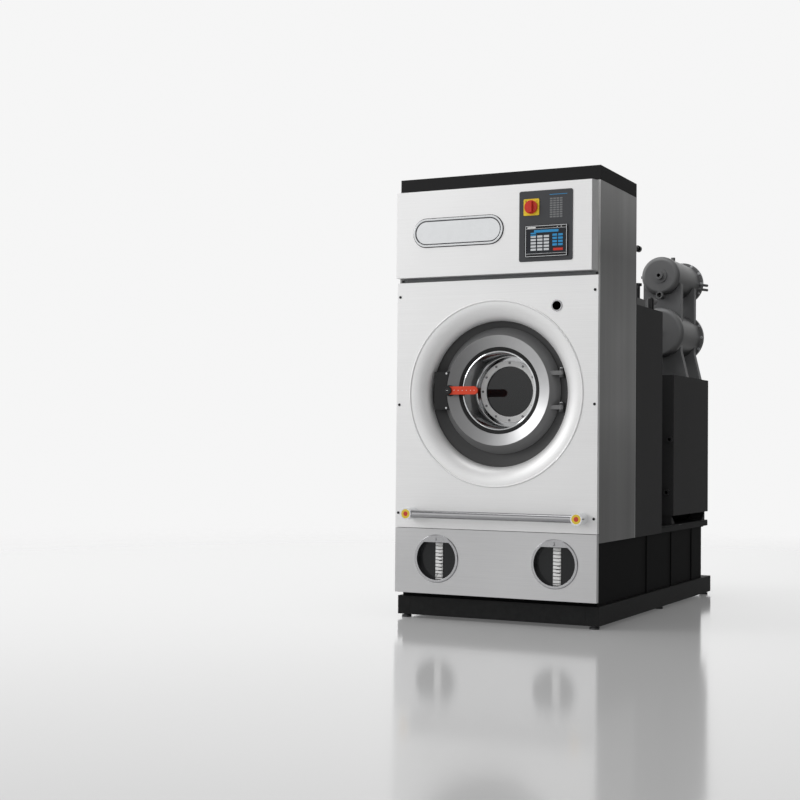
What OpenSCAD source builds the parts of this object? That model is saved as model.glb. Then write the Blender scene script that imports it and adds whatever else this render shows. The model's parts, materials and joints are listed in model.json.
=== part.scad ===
// Closed-circuit dry cleaning machine: a front cabinet with the door, tub and drum, a rear
// cover over the drive, a control cabinet that carries the still and the condenser, and a
// pair of solvent tanks on a plinth below them all.
// Millimetres, +Z up, front towards -Y. The machine stands centred on the origin.
// Inside the modules Y is 0 at the front plane of the cabinet, and centred() moves it.

/* [Cabinet] */
// Width of the machine
cab_w = 950; // [930:5:1000]
// Depth of the front cabinet
cab_d = 502; // [496:2:560]
// Height of front cabinet above deck
cab_h = 1579; // [1562:1:1652]
// Height of the lid
lid_h = 63; // [50:1:80]
// Thickness of the sheet-metal panels
sheet_t = 2; // [1.5:0.5:3]
// Width of folded edge round a side panel
flange_w = 20; // [16:1:24]
// Side of the square frame tube
tube_w = 40; // [34:1:42]
// Wall of the square frame tube
tube_t = 3; // [2:0.5:4]

/* [Base] */
// Gap between the floor and the plinth
foot_h = 15; // [12:1:25]
// Radius of a foot pad
foot_r = 22; // [20:1:29]
// Radius of the threaded stud of a foot
stud_r = 8; // [6:0.5:10]
// Height of the plinth
plinth_h = 82; // [70:1:100]
// Length of the plinth
plinth_l = 1815; // [1800:5:1860]
// Width of a plinth rail
rail_w = 60; // [58:1:80]
// From the cabinet front back to the plinth
plinth_inset = 10; // [9:1:16]
// Height of the solvent tanks
tank_h = 269; // [253:1:288]
// Length of the solvent tanks
tank_l = 1660; // [1600:5:1690]
// From the cabinet side in to the tank wall
tank_inset = 15; // [12:1:25]
// From plinth front back to tank wall
tank_setback = 20; // [18:1:30]
// Wall of the solvent tanks
tank_t = 3; // [2:0.5:4]
// Height of the deck
deck_t = 30; // [24:1:40]
// Length of the deck
deck_l = 1761; // [1755:1:1790]
// Wall of the deck
deck_wall = 5; // [3:0.5:8]

/* [Front panels] */
// Black gap between plinth and lower panel
kick_gap = 19; // [12:1:30]
// Height of the lower panel
lower_panel_h = 288; // [280:1:300]
// Seam between the lower and the main panel
seam = 2; // [1:0.5:4]
// Height of the main panel
main_panel_h = 1097; // [1090:1:1110]
// Recessed strip between main and upper panel
strip_h = 21; // [15:1:30]
// How far lower and main panels stand proud
panel_d = 24; // [20:1:28]
// How far the upper panel stands proud
upper_d = 40; // [34:1:44]
// Width of bevel down right edge of upper panel
bevel_w = 25; // [20:1:26]
// Outer radius of dish pressed into main panel
dish_r = 405; // [400:1:410]
// Radius of opening at bottom of dish
dish_hole_r = 322; // [318:1:326]
// Depth of the dish
dish_d = 61; // [55:1:62]
// Radius of the bead round the dish
bead_r = 5; // [3:0.5:6]
// How far dish centre lies below door centre
dish_drop = 15; // [10:1:18]
// Distance of a panel screw from cabinet side
screw_inset = 14; // [10:1:15]
// Radius of a panel screw
screw_r = 3; // [2:0.5:4]
// Height of lowest panel screw above main panel's edge
screw_rise = 64; // [50:1:80]
// Spacing of the panel screws
screw_pitch = 485; // [470:1:490]
// Sideways place of the round port
port_x = 289; // [280:1:300]
// Height of round port above door centre
port_rise = 360; // [355:1:380]
// Outer radius of the port ring
port_r = 25; // [23:0.5:28]
// Radius of the port
port_bore_r = 19; // [14:0.5:20]

/* [Nameplate and controls] */
// Gap between nameplate and control plate
plate_gap = 76; // [60:1:90]
// Height of the nameplate
plate_h = 126; // [100:1:140]
// From cabinet's left side to nameplate
plate_margin = 87; // [80:1:110]
// Height of nameplate's centre above upper panel's edge
plate_rise = 197; // [180:1:210]
// Width of the nameplate's raised rim
plate_rim = 9; // [6:1:12]
// Thickness of the nameplate's rim
plate_t = 6; // [4:0.5:8]
// Width of the control plate
control_w = 245; // [240:1:260]
// Height of the control plate
control_h = 306; // [300:1:316]
// From cabinet's right side to middle of control plate
control_inset = 232.5; // [225:0.5:240]
// Height of control plate's centre above upper panel's edge
control_rise = 199; // [190:1:205]
// Thickness of the control plate
control_t = 3; // [2:0.5:5]
// Corner radius of the control plate
control_corner = 9; // [5:1:14]
// Side of the square main switch plate
switch_w = 72; // [64:1:80]
// Thickness of the main switch plate
switch_t = 4; // [3:0.5:6]
// Radius of the main switch knob
knob_r = 29; // [24:0.5:31]
// Height of the main switch knob
knob_h = 22; // [16:1:28]
// Width of the touch screen's frame
screen_w = 196; // [180:1:210]
// Height of the touch screen's frame
screen_h = 136; // [120:1:140]
// Thickness of the touch screen's frame
screen_t = 6; // [4:0.5:8]
// Width of the border round the display
screen_border = 8; // [6:1:12]
// Depth of the touch screen's housing
screen_d = 34; // [25:1:35]
// How far touch screen lies below control plate's centre
screen_drop = 67; // [64:1:72]
// How far touch screen lies to right of control plate's centre
screen_shift = 4; // [0:1:8]
// Height of main switch above control plate's centre
switch_rise = 82; // [76:1:92]
// How far main switch lies to left of control plate's centre
switch_shift = 65; // [60:1:75]

/* [Grab rail] */
// From cabinet side to a rail post, before shift
post_inset = 77; // [70:1:95]
// How far rail lies to right of middle
grab_shift = 13; // [0:1:14]
// Height of rail above main panel's lower edge
rail_rise = 64; // [55:1:75]
// Radius of the rail
bar_r = 17; // [14:0.5:19]
// Radius of a rail post
post_r = 26; // [24:0.5:29]
// Length of a rail post
post_l = 81; // [70:1:90]
// From the panel to the rail's axis
bar_out = 60; // [48:1:62]

/* [Tank gauges] */
// From cabinet side to a gauge, before shift
gauge_inset = 197; // [190:1:215]
// How far gauges lie to right of middle
gauge_shift = 8; // [0:1:12]
// Height of gauges above lower panel's edge
gauge_rise = 156; // [140:1:165]
// Outer radius of a gauge bezel
gauge_r = 107; // [104:1:112]
// Radius of the hole for a gauge
gauge_hole_r = 97; // [94:1:98]
// Depth of a gauge behind the panel face
gauge_d = 32; // [26:1:33]
// Thickness of a bezel in front of panel
bezel_t = 5; // [3:0.5:7]
// Height of straight edge of number segment above centre
segment_rise = 72; // [66:1:78]
// Width of the level scale
scale_w = 35; // [28:1:40]
// Number of marks on the level scale
scale_marks = 10; // [6:1:12]

/* [Door] */
// Height of the door centre above the deck
drum_rise = 622; // [618:1:626]
// Outer radius of the door's front face
face_r = 243; // [238:1:246]
// Outer radius of the door's rim
rim_r = 279; // [274:1:281]
// Radius of the opening in the door's face
face_hole_r = 192; // [188:1:196]
// From cabinet front back to door's face
face_y = 12; // [10:1:14]
// How much deeper inner edge of face lies
face_slope = 16; // [12:1:18]
// Depth of door's flank from face to rim
flank_d = 48; // [46:1:50]
// Thickness of the door's rim
rim_t = 3; // [2:0.5:4]
// Wall of the door casting
door_wall = 5; // [4:0.5:6]
// Outer radius of the door bowl at its lip
bowl_r = 180; // [176:1:184]
// Radius of the bowl's floor
bowl_floor_r = 155; // [150:1:160]
// Depth of the bowl behind the door's face
bowl_d = 148; // [140:1:152]
// Wall of the door bowl
bowl_t = 3; // [2:0.5:3.5]
// Visible radius of the door glass
glass_view_r = 113; // [106:1:115]
// Radius of the door glass
glass_r = 120; // [118:0.5:121]
// Thickness of the door glass
glass_t = 8; // [6:0.5:10]
// Outer radius of the window flange
window_r = 139; // [137:1:142]
// Thickness of the window flange
window_t = 6; // [4:0.5:8]
// Number of bolts round the window
bolt_count = 12; // [8:1:16]
// Radius of the bolt circle
bolt_circle_r = 128; // [126:0.5:130]
// Radius of a window bolt
bolt_r = 3; // [2.5:0.25:3.5]
// Width of the door seal
seal_w = 18; // [14:1:19]
// Thickness of the door seal
seal_t = 4.7; // [4:0.1:6]

/* [Hinge and latch] */
// Sideways place of the hinge axis
hinge_x = 290; // [288:0.5:291]
// From cabinet front back to hinge axis
hinge_y = 34; // [33:0.5:36]
// Spacing of the two hinges
hinge_pitch = 149; // [140:1:160]
// Radius of a hinge pin
hinge_pin_r = 5; // [4:0.25:5.5]
// Height of a hinge arm
arm_h = 18; // [14:1:22]
// Width of the latch housing
latch_w = 76; // [70:1:77]
// Height of the latch housing
latch_h = 170; // [150:1:174]
// From door centre to latch housing's inner edge
latch_x = 227; // [224:1:228]
// From cabinet front back to latch housing's face
latch_y = 8; // [7:0.5:9]
// Depth of the latch housing
latch_d = 38; // [30:1:40]
// Length of the lever from its pivot
lever_l = 143; // [120:1:150]
// Height of the lever
lever_h = 36; // [30:1:38]
// Radius of the lever's knob
lever_knob_r = 19; // [18:0.5:20]

/* [Tub and drum] */
// From the cabinet side to the tub
tub_side = 50; // [48:1:53]
// From the cabinet front back to the tub
tub_y = 80; // [79:1:82]
// Depth of the tub
tub_d = 366; // [360:1:368]
// Wall of the tub
tub_t = 4; // [3:0.5:5]
// Thickness of the tub's back plate
tub_back_t = 6; // [5:0.5:8]
// Radius of the tub's loading neck
neck_r = 195; // [193:1:198]
// Outer radius of the funnel round the door
funnel_r = 345; // [342:1:350]
// From outside of tub in to drum
drum_clear = 27; // [23:1:35]
// Depth of the drum
drum_d = 324; // [310:1:326]
// Wall of the drum
drum_t = 3; // [2:0.5:4]
// From tub's front plate back to drum
drum_gap = 20; // [18:1:22]
// Radius of the drum's loading opening
mouth_r = 205; // [200:1:210]
// Radius of a hole in the drum wall
perf_r = 8; // [5:0.5:10]
// Holes round the drum
perf_count = 24; // [12:2:30]
// Rows of holes in the drum
perf_rows = 4; // [2:1:5]
// Number of lifters in the drum
lifter_count = 3; // [2:1:4]
// Height of a lifter
lifter_h = 75; // [50:1:90]
// Width of a lifter at the drum wall
lifter_w = 90; // [70:1:110]

/* [Drive] */
// Radius of the drum shaft
shaft_r = 30; // [26:0.5:34]
// Outer radius of the bearing housing
housing_r = 75; // [70:1:80]
// Length of the bearing housing
housing_l = 190; // [175:1:195]
// Outer radius of a drum bearing
bearing_r = 55; // [50:1:60]
// Belt seat radius of the drum pulley
pulley_r = 184; // [170:1:200]
// Belt seat radius of the motor pulley
motor_pulley_r = 46; // [40:1:50]
// Width of the pulleys
pulley_w = 38; // [34:1:44]
// Height of a pulley's edge above belt seat
pulley_edge = 11; // [9:1:14]
// Width of the drive belt
belt_w = 28; // [20:1:28]
// Sideways place of motor from middle
motor_x = -210; // [-240:1:-190]
// Height of the motor's axis above the deck
motor_rise = 132; // [126:1:150]
// Radius of the drive motor
motor_r = 100; // [90:1:110]
// Length of the drive motor
motor_l = 190; // [170:1:195]
// Radius of the motor's shaft
motor_shaft_r = 14; // [12:0.5:19]

/* [Air circuit] */
// Width of the air duct
duct_w = 420; // [400:1:430]
// Depth of the air duct
duct_d = 330; // [300:1:340]
// Height of the air duct
duct_h = 330; // [325:1:350]
// Sideways place of the duct's left side
duct_x = -380; // [-390:1:-370]
// Width of the duct's neck down to the tub
duct_neck_w = 130; // [110:1:140]
// Sideways place of the fan's axis
fan_x = 250; // [240:1:260]
// Height of fan's axis above cross beams
fan_rise = 165; // [162:1:180]
// Radius of the fan housing
fan_r = 155; // [150:1:158]
// Depth of the fan housing
fan_d = 130; // [110:1:140]
// Radius of the impeller
impeller_r = 125; // [110:1:130]
// Number of impeller blades
blade_count = 12; // [8:1:16]
// Radius of the fan motor
fan_motor_r = 80; // [70:1:90]
// Length of the fan motor
fan_motor_l = 150; // [130:1:160]

/* [Solvent circuit] */
// Width of the button trap
trap_w = 220; // [200:1:240]
// Height of the button trap above the deck
trap_rise = 70; // [50:1:80]
// Depth of the button trap
trap_d = 250; // [220:1:260]
// Sideways place of the solvent pump
pump_x = 230; // [200:1:250]
// Radius of the pump casing
pump_r = 75; // [65:1:80]
// Height of the pump's axis above the deck
pump_rise = 95; // [90:1:110]
// Sideways place of the valve block
valve_x = 415; // [400:1:418]
// Width of the valve block
valve_w = 60; // [50:1:70]

/* [Rear cover] */
// Depth of the rear cover
rear_d = 419; // [410:1:430]
// Height of the rear cover
rear_h = 1030; // [1012:1:1052]

/* [Control cabinet] */
// Gap between rear cover and control cabinet
box_gap = 196; // [180:1:200]
// Width of the control cabinet
box_w = 400; // [390:1:420]
// Depth of control cabinet with its door
box_d = 648; // [640:1:652]
// Height of the control cabinet
box_h = 692; // [672:1:712]
// Height of feet under control cabinet
box_foot_h = 45; // [35:1:55]
// Thickness of the control cabinet's door
box_door_t = 18; // [16:1:22]
// Radius of a cable gland
gland_r = 15; // [10:0.5:18]

/* [Still and condenser] */
// From machine's side to axis of both vessels
vessel_side = 130; // [130:1:134]
// From control cabinet's front back to vessels' front
vessel_y = 162; // [150:1:170]
// Radius of the still's front
still_r = 127; // [122:1:128]
// Length of the still
still_l = 400; // [390:1:420]
// Height of still's axis above control cabinet
still_rise = 224; // [218:1:232]
// Radius of the condenser's front
cond_r = 99; // [94:1:102]
// Length of the condenser
cond_l = 430; // [420:1:450]
// How far condenser's front lies behind still's
cond_back = 24; // [16:1:28]
// Height of condenser's axis above still's
cond_rise = 291; // [286:1:300]
// Wall of both vessels
vessel_t = 5; // [4:0.5:6]
// Radius of round edge of a vessel's front
head_d = 24; // [20:1:26]
// How far condenser's rear flange stands out
vessel_flange = 12; // [8:1:14]
// From vessels' front back to first stand plate
stand_y = 68; // [66:1:75]
// Spacing of the stand plates
stand_pitch = 248; // [230:1:260]

/* [Clearances] */
// Gap between a seated piece and its seat
seat_gap = 0.3; // [0.2:0.05:0.5]
// Gap round a screw or through bolt
hole_gap = 0.3; // [0.2:0.05:0.5]
// Radial gap of a turning shaft in its bore
run_gap = 0.05; // [0.03:0.01:0.08]

/* [Hidden] */
$fn = 72;
// How far a cut runs past the face it opens
over = 1;
steel = [0.82, 0.83, 0.84];
dark_steel = [0.35, 0.36, 0.37];
charcoal = [0.22, 0.22, 0.23];
black = [0.07, 0.07, 0.08];
chrome = [0.75, 0.77, 0.8];
grey = [0.45, 0.46, 0.47];
motor_blue = [0.25, 0.33, 0.4];

// Small fixed sizes
bolt_head_r = 5;
bolt_head_h = 4;
lever_knob_h = 8;
lever_t = 10;
ear_h = 10;
knuckle_r = 9;
tub_foot_t = 8;
tub_foot_x = 250;
coil_pipes = 6;
coil_pipe_r = 9;
pump_motor_r = 62;
stand_t = 8;
stand_edge = 40;
box_pin_r = 3;
bearing_w = 30;
shaft_flange_r = 110;
lever_spindle_r = 8;
spindle_r = 6;
bar_socket = 14;
bezel_wall = 3;
rail_t = 4;
tank_flange = 12;
rib_w = 16;
screw_head_r = 6;
belt_t = 8;

// Heights, from the floor up
half_w = cab_w / 2;
plinth_z = foot_h;
tank_z = plinth_z + plinth_h;
tank_top_z = tank_z + tank_h;
deck_z = tank_top_z + deck_t;
top_z = deck_z + cab_h;
lid_z = top_z - lid_h;
panel_top_z = lid_z - seat_gap;
lower_z = tank_z + kick_gap;
main_z = lower_z + lower_panel_h + seam;
strip_z = main_z + main_panel_h;
upper_z = strip_z + strip_h;
door_z = deck_z + drum_rise;
dish_z = door_z - dish_drop;

// Distances from the front of the cabinet, front to back
plinth_back_y = plinth_inset + plinth_l;
tank_y = plinth_inset + tank_setback;
tank_back_y = tank_y + tank_l;
rear_back_y = cab_d + rear_d;
box_y = rear_back_y + box_gap;
box_back_y = box_y + box_d;
box_door_y = box_back_y - box_door_t;
vessel_front_y = box_y + vessel_y;
front_y = -panel_d - post_l;
mid_y = (front_y + plinth_back_y) / 2;

// Frame
frame_x = half_w - sheet_t - seat_gap - tube_w;
frame_front_y = sheet_t + seat_gap;
frame_back_y = cab_d - sheet_t - seat_gap - tube_w;
tub_r = half_w - tub_side;
drum_r = tub_r - drum_clear;
beam_z = door_z + tub_r + 3;
beam_top_z = beam_z + tube_w;
beam_front_y = frame_front_y + tube_w + 46;
beam_back_y = frame_back_y - tube_w - 48;
screw_x = half_w - screw_inset;
screw_heights = [for (i = [0:2]) main_z + screw_rise + i * screw_pitch];
strip_screw_z = strip_z + strip_h / 2;
screw_head_h = 2.5;
vent_x = half_w - flange_w - 13;
vent_z = lid_z - round(cab_h * 0.1368);
vent_l = 141;
vent_r = 11;

// Front panels
bevel_back = 9;
port_wall = 3;
control_x = half_w - control_inset;
plate_l = half_w - plate_margin + control_x - control_w / 2 - plate_gap;
plate_x = plate_margin - half_w + plate_l / 2;
control_z = upper_z + control_rise;
switch_x = control_x - switch_shift;
switch_z = control_z + switch_rise;
screen_x = control_x + screen_shift;
screen_z = control_z - screen_drop;
screen_body_w = screen_w - 2 * screen_border;
screen_body_h = screen_h - 2 * screen_border;
control_y = -upper_d - control_t;
switch_y = control_y - switch_t;
post_out = half_w - post_inset;
rail_z = main_z + rail_rise;
bar_y = -panel_d - bar_out;
gauge_out = half_w - gauge_inset;
gauge_z = lower_z + gauge_rise;
gauge_tube_r = gauge_hole_r - hole_gap;
gauge_in_r = gauge_tube_r - bezel_wall;
gauge_lip = 6;
window_thick = 3;
gauge_back_y = -panel_d + gauge_d;
window_back_y = gauge_back_y - bezel_wall - seat_gap;

// Door
face_in_y = face_y + face_slope;
rim_y = face_y + flank_d;
rim_back_y = rim_y + rim_t;
seal_in_r = rim_r - seal_w - 10;
bowl_floor_y = face_y + bowl_d;
bowl_lip_w = 26;
glass_y = bowl_floor_y + bowl_t + seat_gap;
clamp_y = glass_y + glass_t + seat_gap;
clamp_t = 4;
flank_run = rim_r - face_r;
flank_wall = door_wall * sqrt(1 + pow(flank_run / flank_d, 2));
latch_back_y = latch_y + latch_d;
lever_gap = 8;
lever_y = latch_y - lever_gap - lever_t;
arm_t = 12;

// Tub, drum and drive
tub_back_y = tub_y + tub_d;
funnel_y = face_y + flank_d * 0.604;
neck_y = rim_back_y + seal_t + seat_gap;
neck_out_r = rim_r + 5;
drum_y = tub_y + drum_gap;
drum_back_y = drum_y + drum_d;
drum_back_t = 6;
shaft_flange_t = 6;
shaft_y = drum_back_y + drum_back_t;
hub_hole_r = shaft_r + 15;
housing_back_y = tub_back_y + housing_l;
housing_flange_r = housing_r + 35;
housing_flange_t = 12;
shoulder = 5;
bearing_y = [tub_back_y + shoulder, housing_back_y - shoulder - bearing_w];
pulley_y = housing_back_y + 14;
pulley_back_y = pulley_y + pulley_w;
groove_w = belt_w + 1;
motor_z = deck_z + motor_rise;
motor_y = pulley_back_y + 12;
motor_socket = 25;

// Air circuit
fan_z = beam_top_z + fan_rise;
fan_y = beam_front_y + 10;
fan_back_y = fan_y + fan_d;
fan_wall = 3;
fan_inlet_r = 90;
fan_shaft_r = 10;
outlet_z = fan_z + 35;
duct_z = beam_top_z + seat_gap;
duct_y = beam_front_y - 5;
duct_end_x = duct_x + duct_w;
duct_neck_x = duct_x + 50;
neck_front_y = beam_front_y + tube_w + 4;
neck_back_y = beam_back_y - 4;

// Solvent circuit
trap_z = deck_z + trap_rise;
trap_y = tub_y + 60;
pump_z = deck_z + pump_rise;
pump_y = cab_d + 58;
rear_top_z = deck_z + rear_h;

// Control cabinet and vessels
box_x = half_w - box_w;
box_z = deck_z + box_foot_h;
box_top_z = box_z + box_h;
box_hinge_x = half_w - 6;
box_hinge_y = box_door_y + 12;
box_door_gap = 2;
lug_t = 4;
vessel_x = half_w - vessel_side;
still_z = box_top_z + still_rise;
cond_z = still_z + cond_rise;
flange_t = 20;
still_body_r = still_r - 12;
cond_body_r = cond_r - 2;
port_pipe_r = 18;

// A block between two corners
module block(x0, x1, y0, y1, z0, z1) {
  translate([x0, y0, z0])
    cube([x1 - x0, y1 - y0, z1 - z0]);
}

// A cylinder along Y
module rod_y(x, z, y0, y1, r) {
  translate([x, y0, z])
    rotate([-90, 0, 0])
      cylinder(h = y1 - y0, r = r);
}

// A cylinder along X
module rod_x(y, z, x0, x1, r) {
  translate([x0, y, z])
    rotate([0, 90, 0])
      cylinder(h = x1 - x0, r = r);
}

// A cylinder along Z
module rod_z(x, y, z0, z1, r) {
  translate([x, y, z0])
    cylinder(h = z1 - z0, r = r);
}

// A profile of [radius, y] points turned about an axis along Y
module turned_y(x, z, profile) {
  translate([x, 0, z])
    rotate([-90, 0, 0])
      rotate_extrude()
        polygon(profile);
}

// A flat shape drawn in X and Z, extruded from y0 to y1
module slab_y(y0, y1) {
  translate([0, y1, 0])
    rotate([90, 0, 0])
      linear_extrude(y1 - y0)
        children();
}

// A tray open towards +Y
module tray_y(x0, x1, y0, y1, z0, z1, wall) {
  difference() {
    block(x0, x1, y0, y1, z0, z1);
    block(x0 + wall, x1 - wall, y0 + wall, y1 + over, z0 + wall, z1 - wall);
  }
}

// A channel with closed ends, open downwards
module channel(x0, x1, y0, y1, z0, z1, wall) {
  difference() {
    block(x0, x1, y0, y1, z0, z1);
    block(x0 + wall, x1 - wall, y0 + wall, y1 - wall, z0 - over, z1 - wall);
  }
}

// A stadium, drawn centred
module stadium(l, h) {
  square([l - h, h], center = true);
  for (s = [-1, 1])
    translate([s * (l - h) / 2, 0])
      circle(h / 2);
}

// A rectangle with round corners, drawn centred
module round_rect(w, h, r) {
  square([w - 2 * r, h], center = true);
  square([w, h - 2 * r], center = true);
  for (sx = [-1, 1], sz = [-1, 1])
    translate([sx * (w / 2 - r), sz * (h / 2 - r)])
      circle(r);
}

// The same piece on both sides of the machine
module both_sides() {
  children();
  mirror([1, 0, 0])
    children();
}

// The machine's box stands centred on the origin
module centred() {
  translate([0, -mid_y, 0])
    children();
}

// ---- Base ----

foot_edge = 30;
feet_y = [plinth_inset + foot_edge, plinth_inset + plinth_l * 0.53, plinth_back_y - foot_edge];
foot_x = half_w - rail_w / 2;
member_step = (plinth_l - rail_w) / 3;

module plinth() {
  color(charcoal) {
    both_sides()
      difference() {
        union() {
          channel(half_w - rail_w, half_w, plinth_inset, plinth_back_y, plinth_z, tank_z, rail_t);
          for (y = feet_y)
            rod_z(foot_x, y, plinth_z, tank_z, stud_r + 8);
        }
        for (y = feet_y)
          rod_z(foot_x, y, plinth_z - over, tank_z - rail_t, stud_r + hole_gap);
      }
    member_x = half_w - rail_w - seat_gap;
    for (i = [0:3])
      channel(-member_x, member_x, plinth_inset + i * member_step,
              plinth_inset + i * member_step + rail_w, plinth_z, tank_z, rail_t);
  }
}

module levelling_feet() {
  pad_h = foot_h * 0.6;
  color(grey)
    both_sides()
      for (y = feet_y) {
        rod_z(foot_x, y, 0, pad_h, foot_r);
        translate([foot_x, y, pad_h])
          cylinder(h = foot_h - pad_h, r = stud_r + 6, $fn = 6);
        rod_z(foot_x, y, pad_h, tank_z - rail_t - over, stud_r);
      }
}

// Ribs, as shares of the tank's length
rib_spots = [0.418, 0.661, 0.882];
rib_d = 5;

// Plates in welded sheet metal stand a seam apart
module solvent_tanks() {
  outer_x = half_w - tank_inset;
  wall_z = tank_z + tank_t + seat_gap;
  lip_z = tank_top_z - tank_t;
  side_y0 = tank_y + tank_t + seat_gap;
  side_y1 = tank_back_y - tank_t - seat_gap;
  color(black)
    both_sides() {
      block(seat_gap, outer_x, tank_y, tank_back_y, tank_z, tank_z + tank_t);
      block(seat_gap, seat_gap + tank_t, side_y0, side_y1, wall_z, tank_top_z);
      block(outer_x - tank_t, outer_x, side_y0, side_y1, wall_z, tank_top_z);
      block(outer_x - over, outer_x + tank_flange, side_y0, side_y1, lip_z, tank_top_z);
      for (spot = rib_spots)
        translate([0, tank_y + spot * tank_l, 0])
          block(outer_x - over, outer_x + rib_d, -rib_w / 2, rib_w / 2, wall_z, lip_z + over);
      for (y = [tank_y, tank_back_y - tank_t])
        block(seat_gap, outer_x, y, y + tank_t, wall_z, tank_top_z);
      for (y = [tank_y - tank_flange, tank_back_y - tank_t])
        block(seat_gap, outer_x, y, y + tank_flange + tank_t, lip_z, tank_top_z);
    }
}

module deck_plate() {
  deck_x = half_w - sheet_t - seat_gap;
  back_y = plinth_inset + deck_l;
  under_z = deck_z - deck_wall;
  color(charcoal) {
    block(-deck_x, deck_x, plinth_inset, back_y, under_z, deck_z);
    for (x = [-deck_x, -deck_wall / 2, deck_x - deck_wall])
      block(x, x + deck_wall, plinth_inset + deck_wall + seat_gap, back_y - deck_wall - seat_gap,
            tank_top_z, under_z - seat_gap);
    for (y = [plinth_inset, back_y - deck_wall])
      block(-deck_x, deck_x, y, y + deck_wall, tank_top_z, under_z - seat_gap);
  }
}

// ---- Front cabinet ----

// A square tube, hollow from end to end along one axis
module frame_tube(x0, x1, y0, y1, z0, z1, axis) {
  in_x = axis == "x" ? -over : tube_t;
  in_y = axis == "y" ? -over : tube_t;
  in_z = axis == "z" ? -over : tube_t;
  difference() {
    block(x0, x1, y0, y1, z0, z1);
    block(x0 + in_x, x1 - in_x, y0 + in_y, y1 - in_y, z0 + in_z, z1 - in_z);
  }
}

module cabinet_frame() {
  post_out_x = frame_x + tube_w;
  rail_y0 = frame_front_y + tube_w + seat_gap;
  rail_y1 = frame_back_y - seat_gap;
  beam_x = frame_x - seat_gap;
  color(grey) {
    both_sides()
      for (y = [frame_front_y, frame_back_y])
        frame_tube(frame_x, post_out_x, y, y + tube_w, deck_z, top_z - sheet_t - seat_gap, "z");
    both_sides()
      for (z = [lid_z - tube_w, beam_z])
        frame_tube(frame_x, post_out_x, rail_y0, rail_y1, z, z + tube_w, "y");
    for (y = [frame_front_y, frame_back_y])
      frame_tube(-beam_x, beam_x, y, y + tube_w, lid_z - tube_w, lid_z, "x");
    for (y = [beam_front_y, beam_back_y])
      frame_tube(-beam_x, beam_x, y, y + tube_w, beam_z, beam_top_z, "x");
    frame_tube(-beam_x, beam_x, frame_front_y, frame_front_y + tube_w,
               strip_screw_z - tube_w / 2, strip_screw_z + tube_w / 2, "x");
  }
}

module side_panels() {
  color(dark_steel)
    both_sides()
      difference() {
        union() {
          block(half_w - sheet_t, half_w, 0, cab_d, tank_top_z, panel_top_z);
          block(half_w - flange_w, half_w, 0, sheet_t, tank_top_z, panel_top_z);
          block(half_w - flange_w, half_w, cab_d - sheet_t, cab_d, deck_z, panel_top_z);
        }
        for (z = concat(screw_heights, [strip_screw_z]))
          rod_y(screw_x, z, -over, sheet_t + over, screw_r + hole_gap);
      }
}

module cabinet_back_panel() {
  panel_x = half_w - flange_w - seat_gap;
  color(dark_steel) {
    difference() {
      block(-panel_x, panel_x, cab_d - sheet_t, cab_d, deck_z, panel_top_z);
      rod_y(0, door_z, cab_d - sheet_t - over, cab_d + over, housing_r + 8);
    }
    rod_y(vent_x, vent_z, cab_d - sheet_t / 2, cab_d + vent_l, vent_r);
    rod_y(vent_x, vent_z, cab_d + vent_l - 24, cab_d + vent_l, vent_r + 4);
  }
}

module lid() {
  color(charcoal)
    channel(-half_w, half_w, 0, cab_d, lid_z, top_z, sheet_t);
}

// Right edge of the upper panel at a distance y from the cabinet front
function bevel_x(y) = half_w - bevel_back + (bevel_w - bevel_back) * y / upper_d;

module upper_panel() {
  z1 = lid_z - seam;
  wall_x = sheet_t * sqrt(1 + pow((bevel_w - bevel_back) / upper_d, 2));
  face_back_y = -upper_d + sheet_t;
  color(steel)
    difference() {
      translate([0, 0, upper_z])
        linear_extrude(z1 - upper_z)
          polygon([[-half_w, 0], [-half_w, -upper_d], [bevel_x(-upper_d), -upper_d], [bevel_x(0), 0]]);
      translate([0, 0, upper_z + sheet_t])
        linear_extrude(z1 - upper_z - 2 * sheet_t)
          polygon([[-half_w + sheet_t, over], [-half_w + sheet_t, face_back_y],
                   [bevel_x(face_back_y) - wall_x, face_back_y], [bevel_x(over) - wall_x, over]]);
      rod_y(switch_x, switch_z, -upper_d - over, face_back_y + over, spindle_r + 2);
      block(screen_x - screen_body_w / 2 - over, screen_x + screen_body_w / 2 + over,
            -upper_d - over, face_back_y + over,
            screen_z - screen_body_h / 2 - over, screen_z + screen_body_h / 2 + over);
    }
}

// Section of the pressed dish: a quarter ellipse from the panel face to the opening
dish_steps = 12;
dish_front = [for (i = [0:dish_steps])
  [dish_r - (dish_r - dish_hole_r) * sin(90 * i / dish_steps),
   -panel_d + dish_d * (1 - cos(90 * i / dish_steps))]];
dish_back = [for (i = [dish_steps:-1:0])
  [dish_r - (dish_r - dish_hole_r - sheet_t) * sin(90 * i / dish_steps),
   -panel_d + sheet_t + (dish_d - sheet_t) * (1 - cos(90 * i / dish_steps))]];

module main_panel() {
  color(steel)
    difference() {
      union() {
        difference() {
          tray_y(-half_w, half_w, -panel_d, 0, main_z, strip_z, sheet_t);
          rod_y(0, dish_z, -panel_d - over, -panel_d + sheet_t + over, dish_r);
        }
        turned_y(0, dish_z, concat(dish_front, dish_back));
        translate([0, 0, dish_z])
          rotate([-90, 0, 0])
            rotate_extrude()
              translate([dish_r + bead_r / 2, -panel_d + sheet_t / 2])
                circle(bead_r);
      }
      rod_y(port_x, door_z + port_rise, -panel_d - over, -panel_d + sheet_t + over,
            port_bore_r + port_wall + hole_gap);
      both_sides()
        for (z = screw_heights)
          rod_y(screw_x, z, -panel_d - over, -panel_d + sheet_t + over, screw_r + hole_gap);
    }
}

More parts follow.
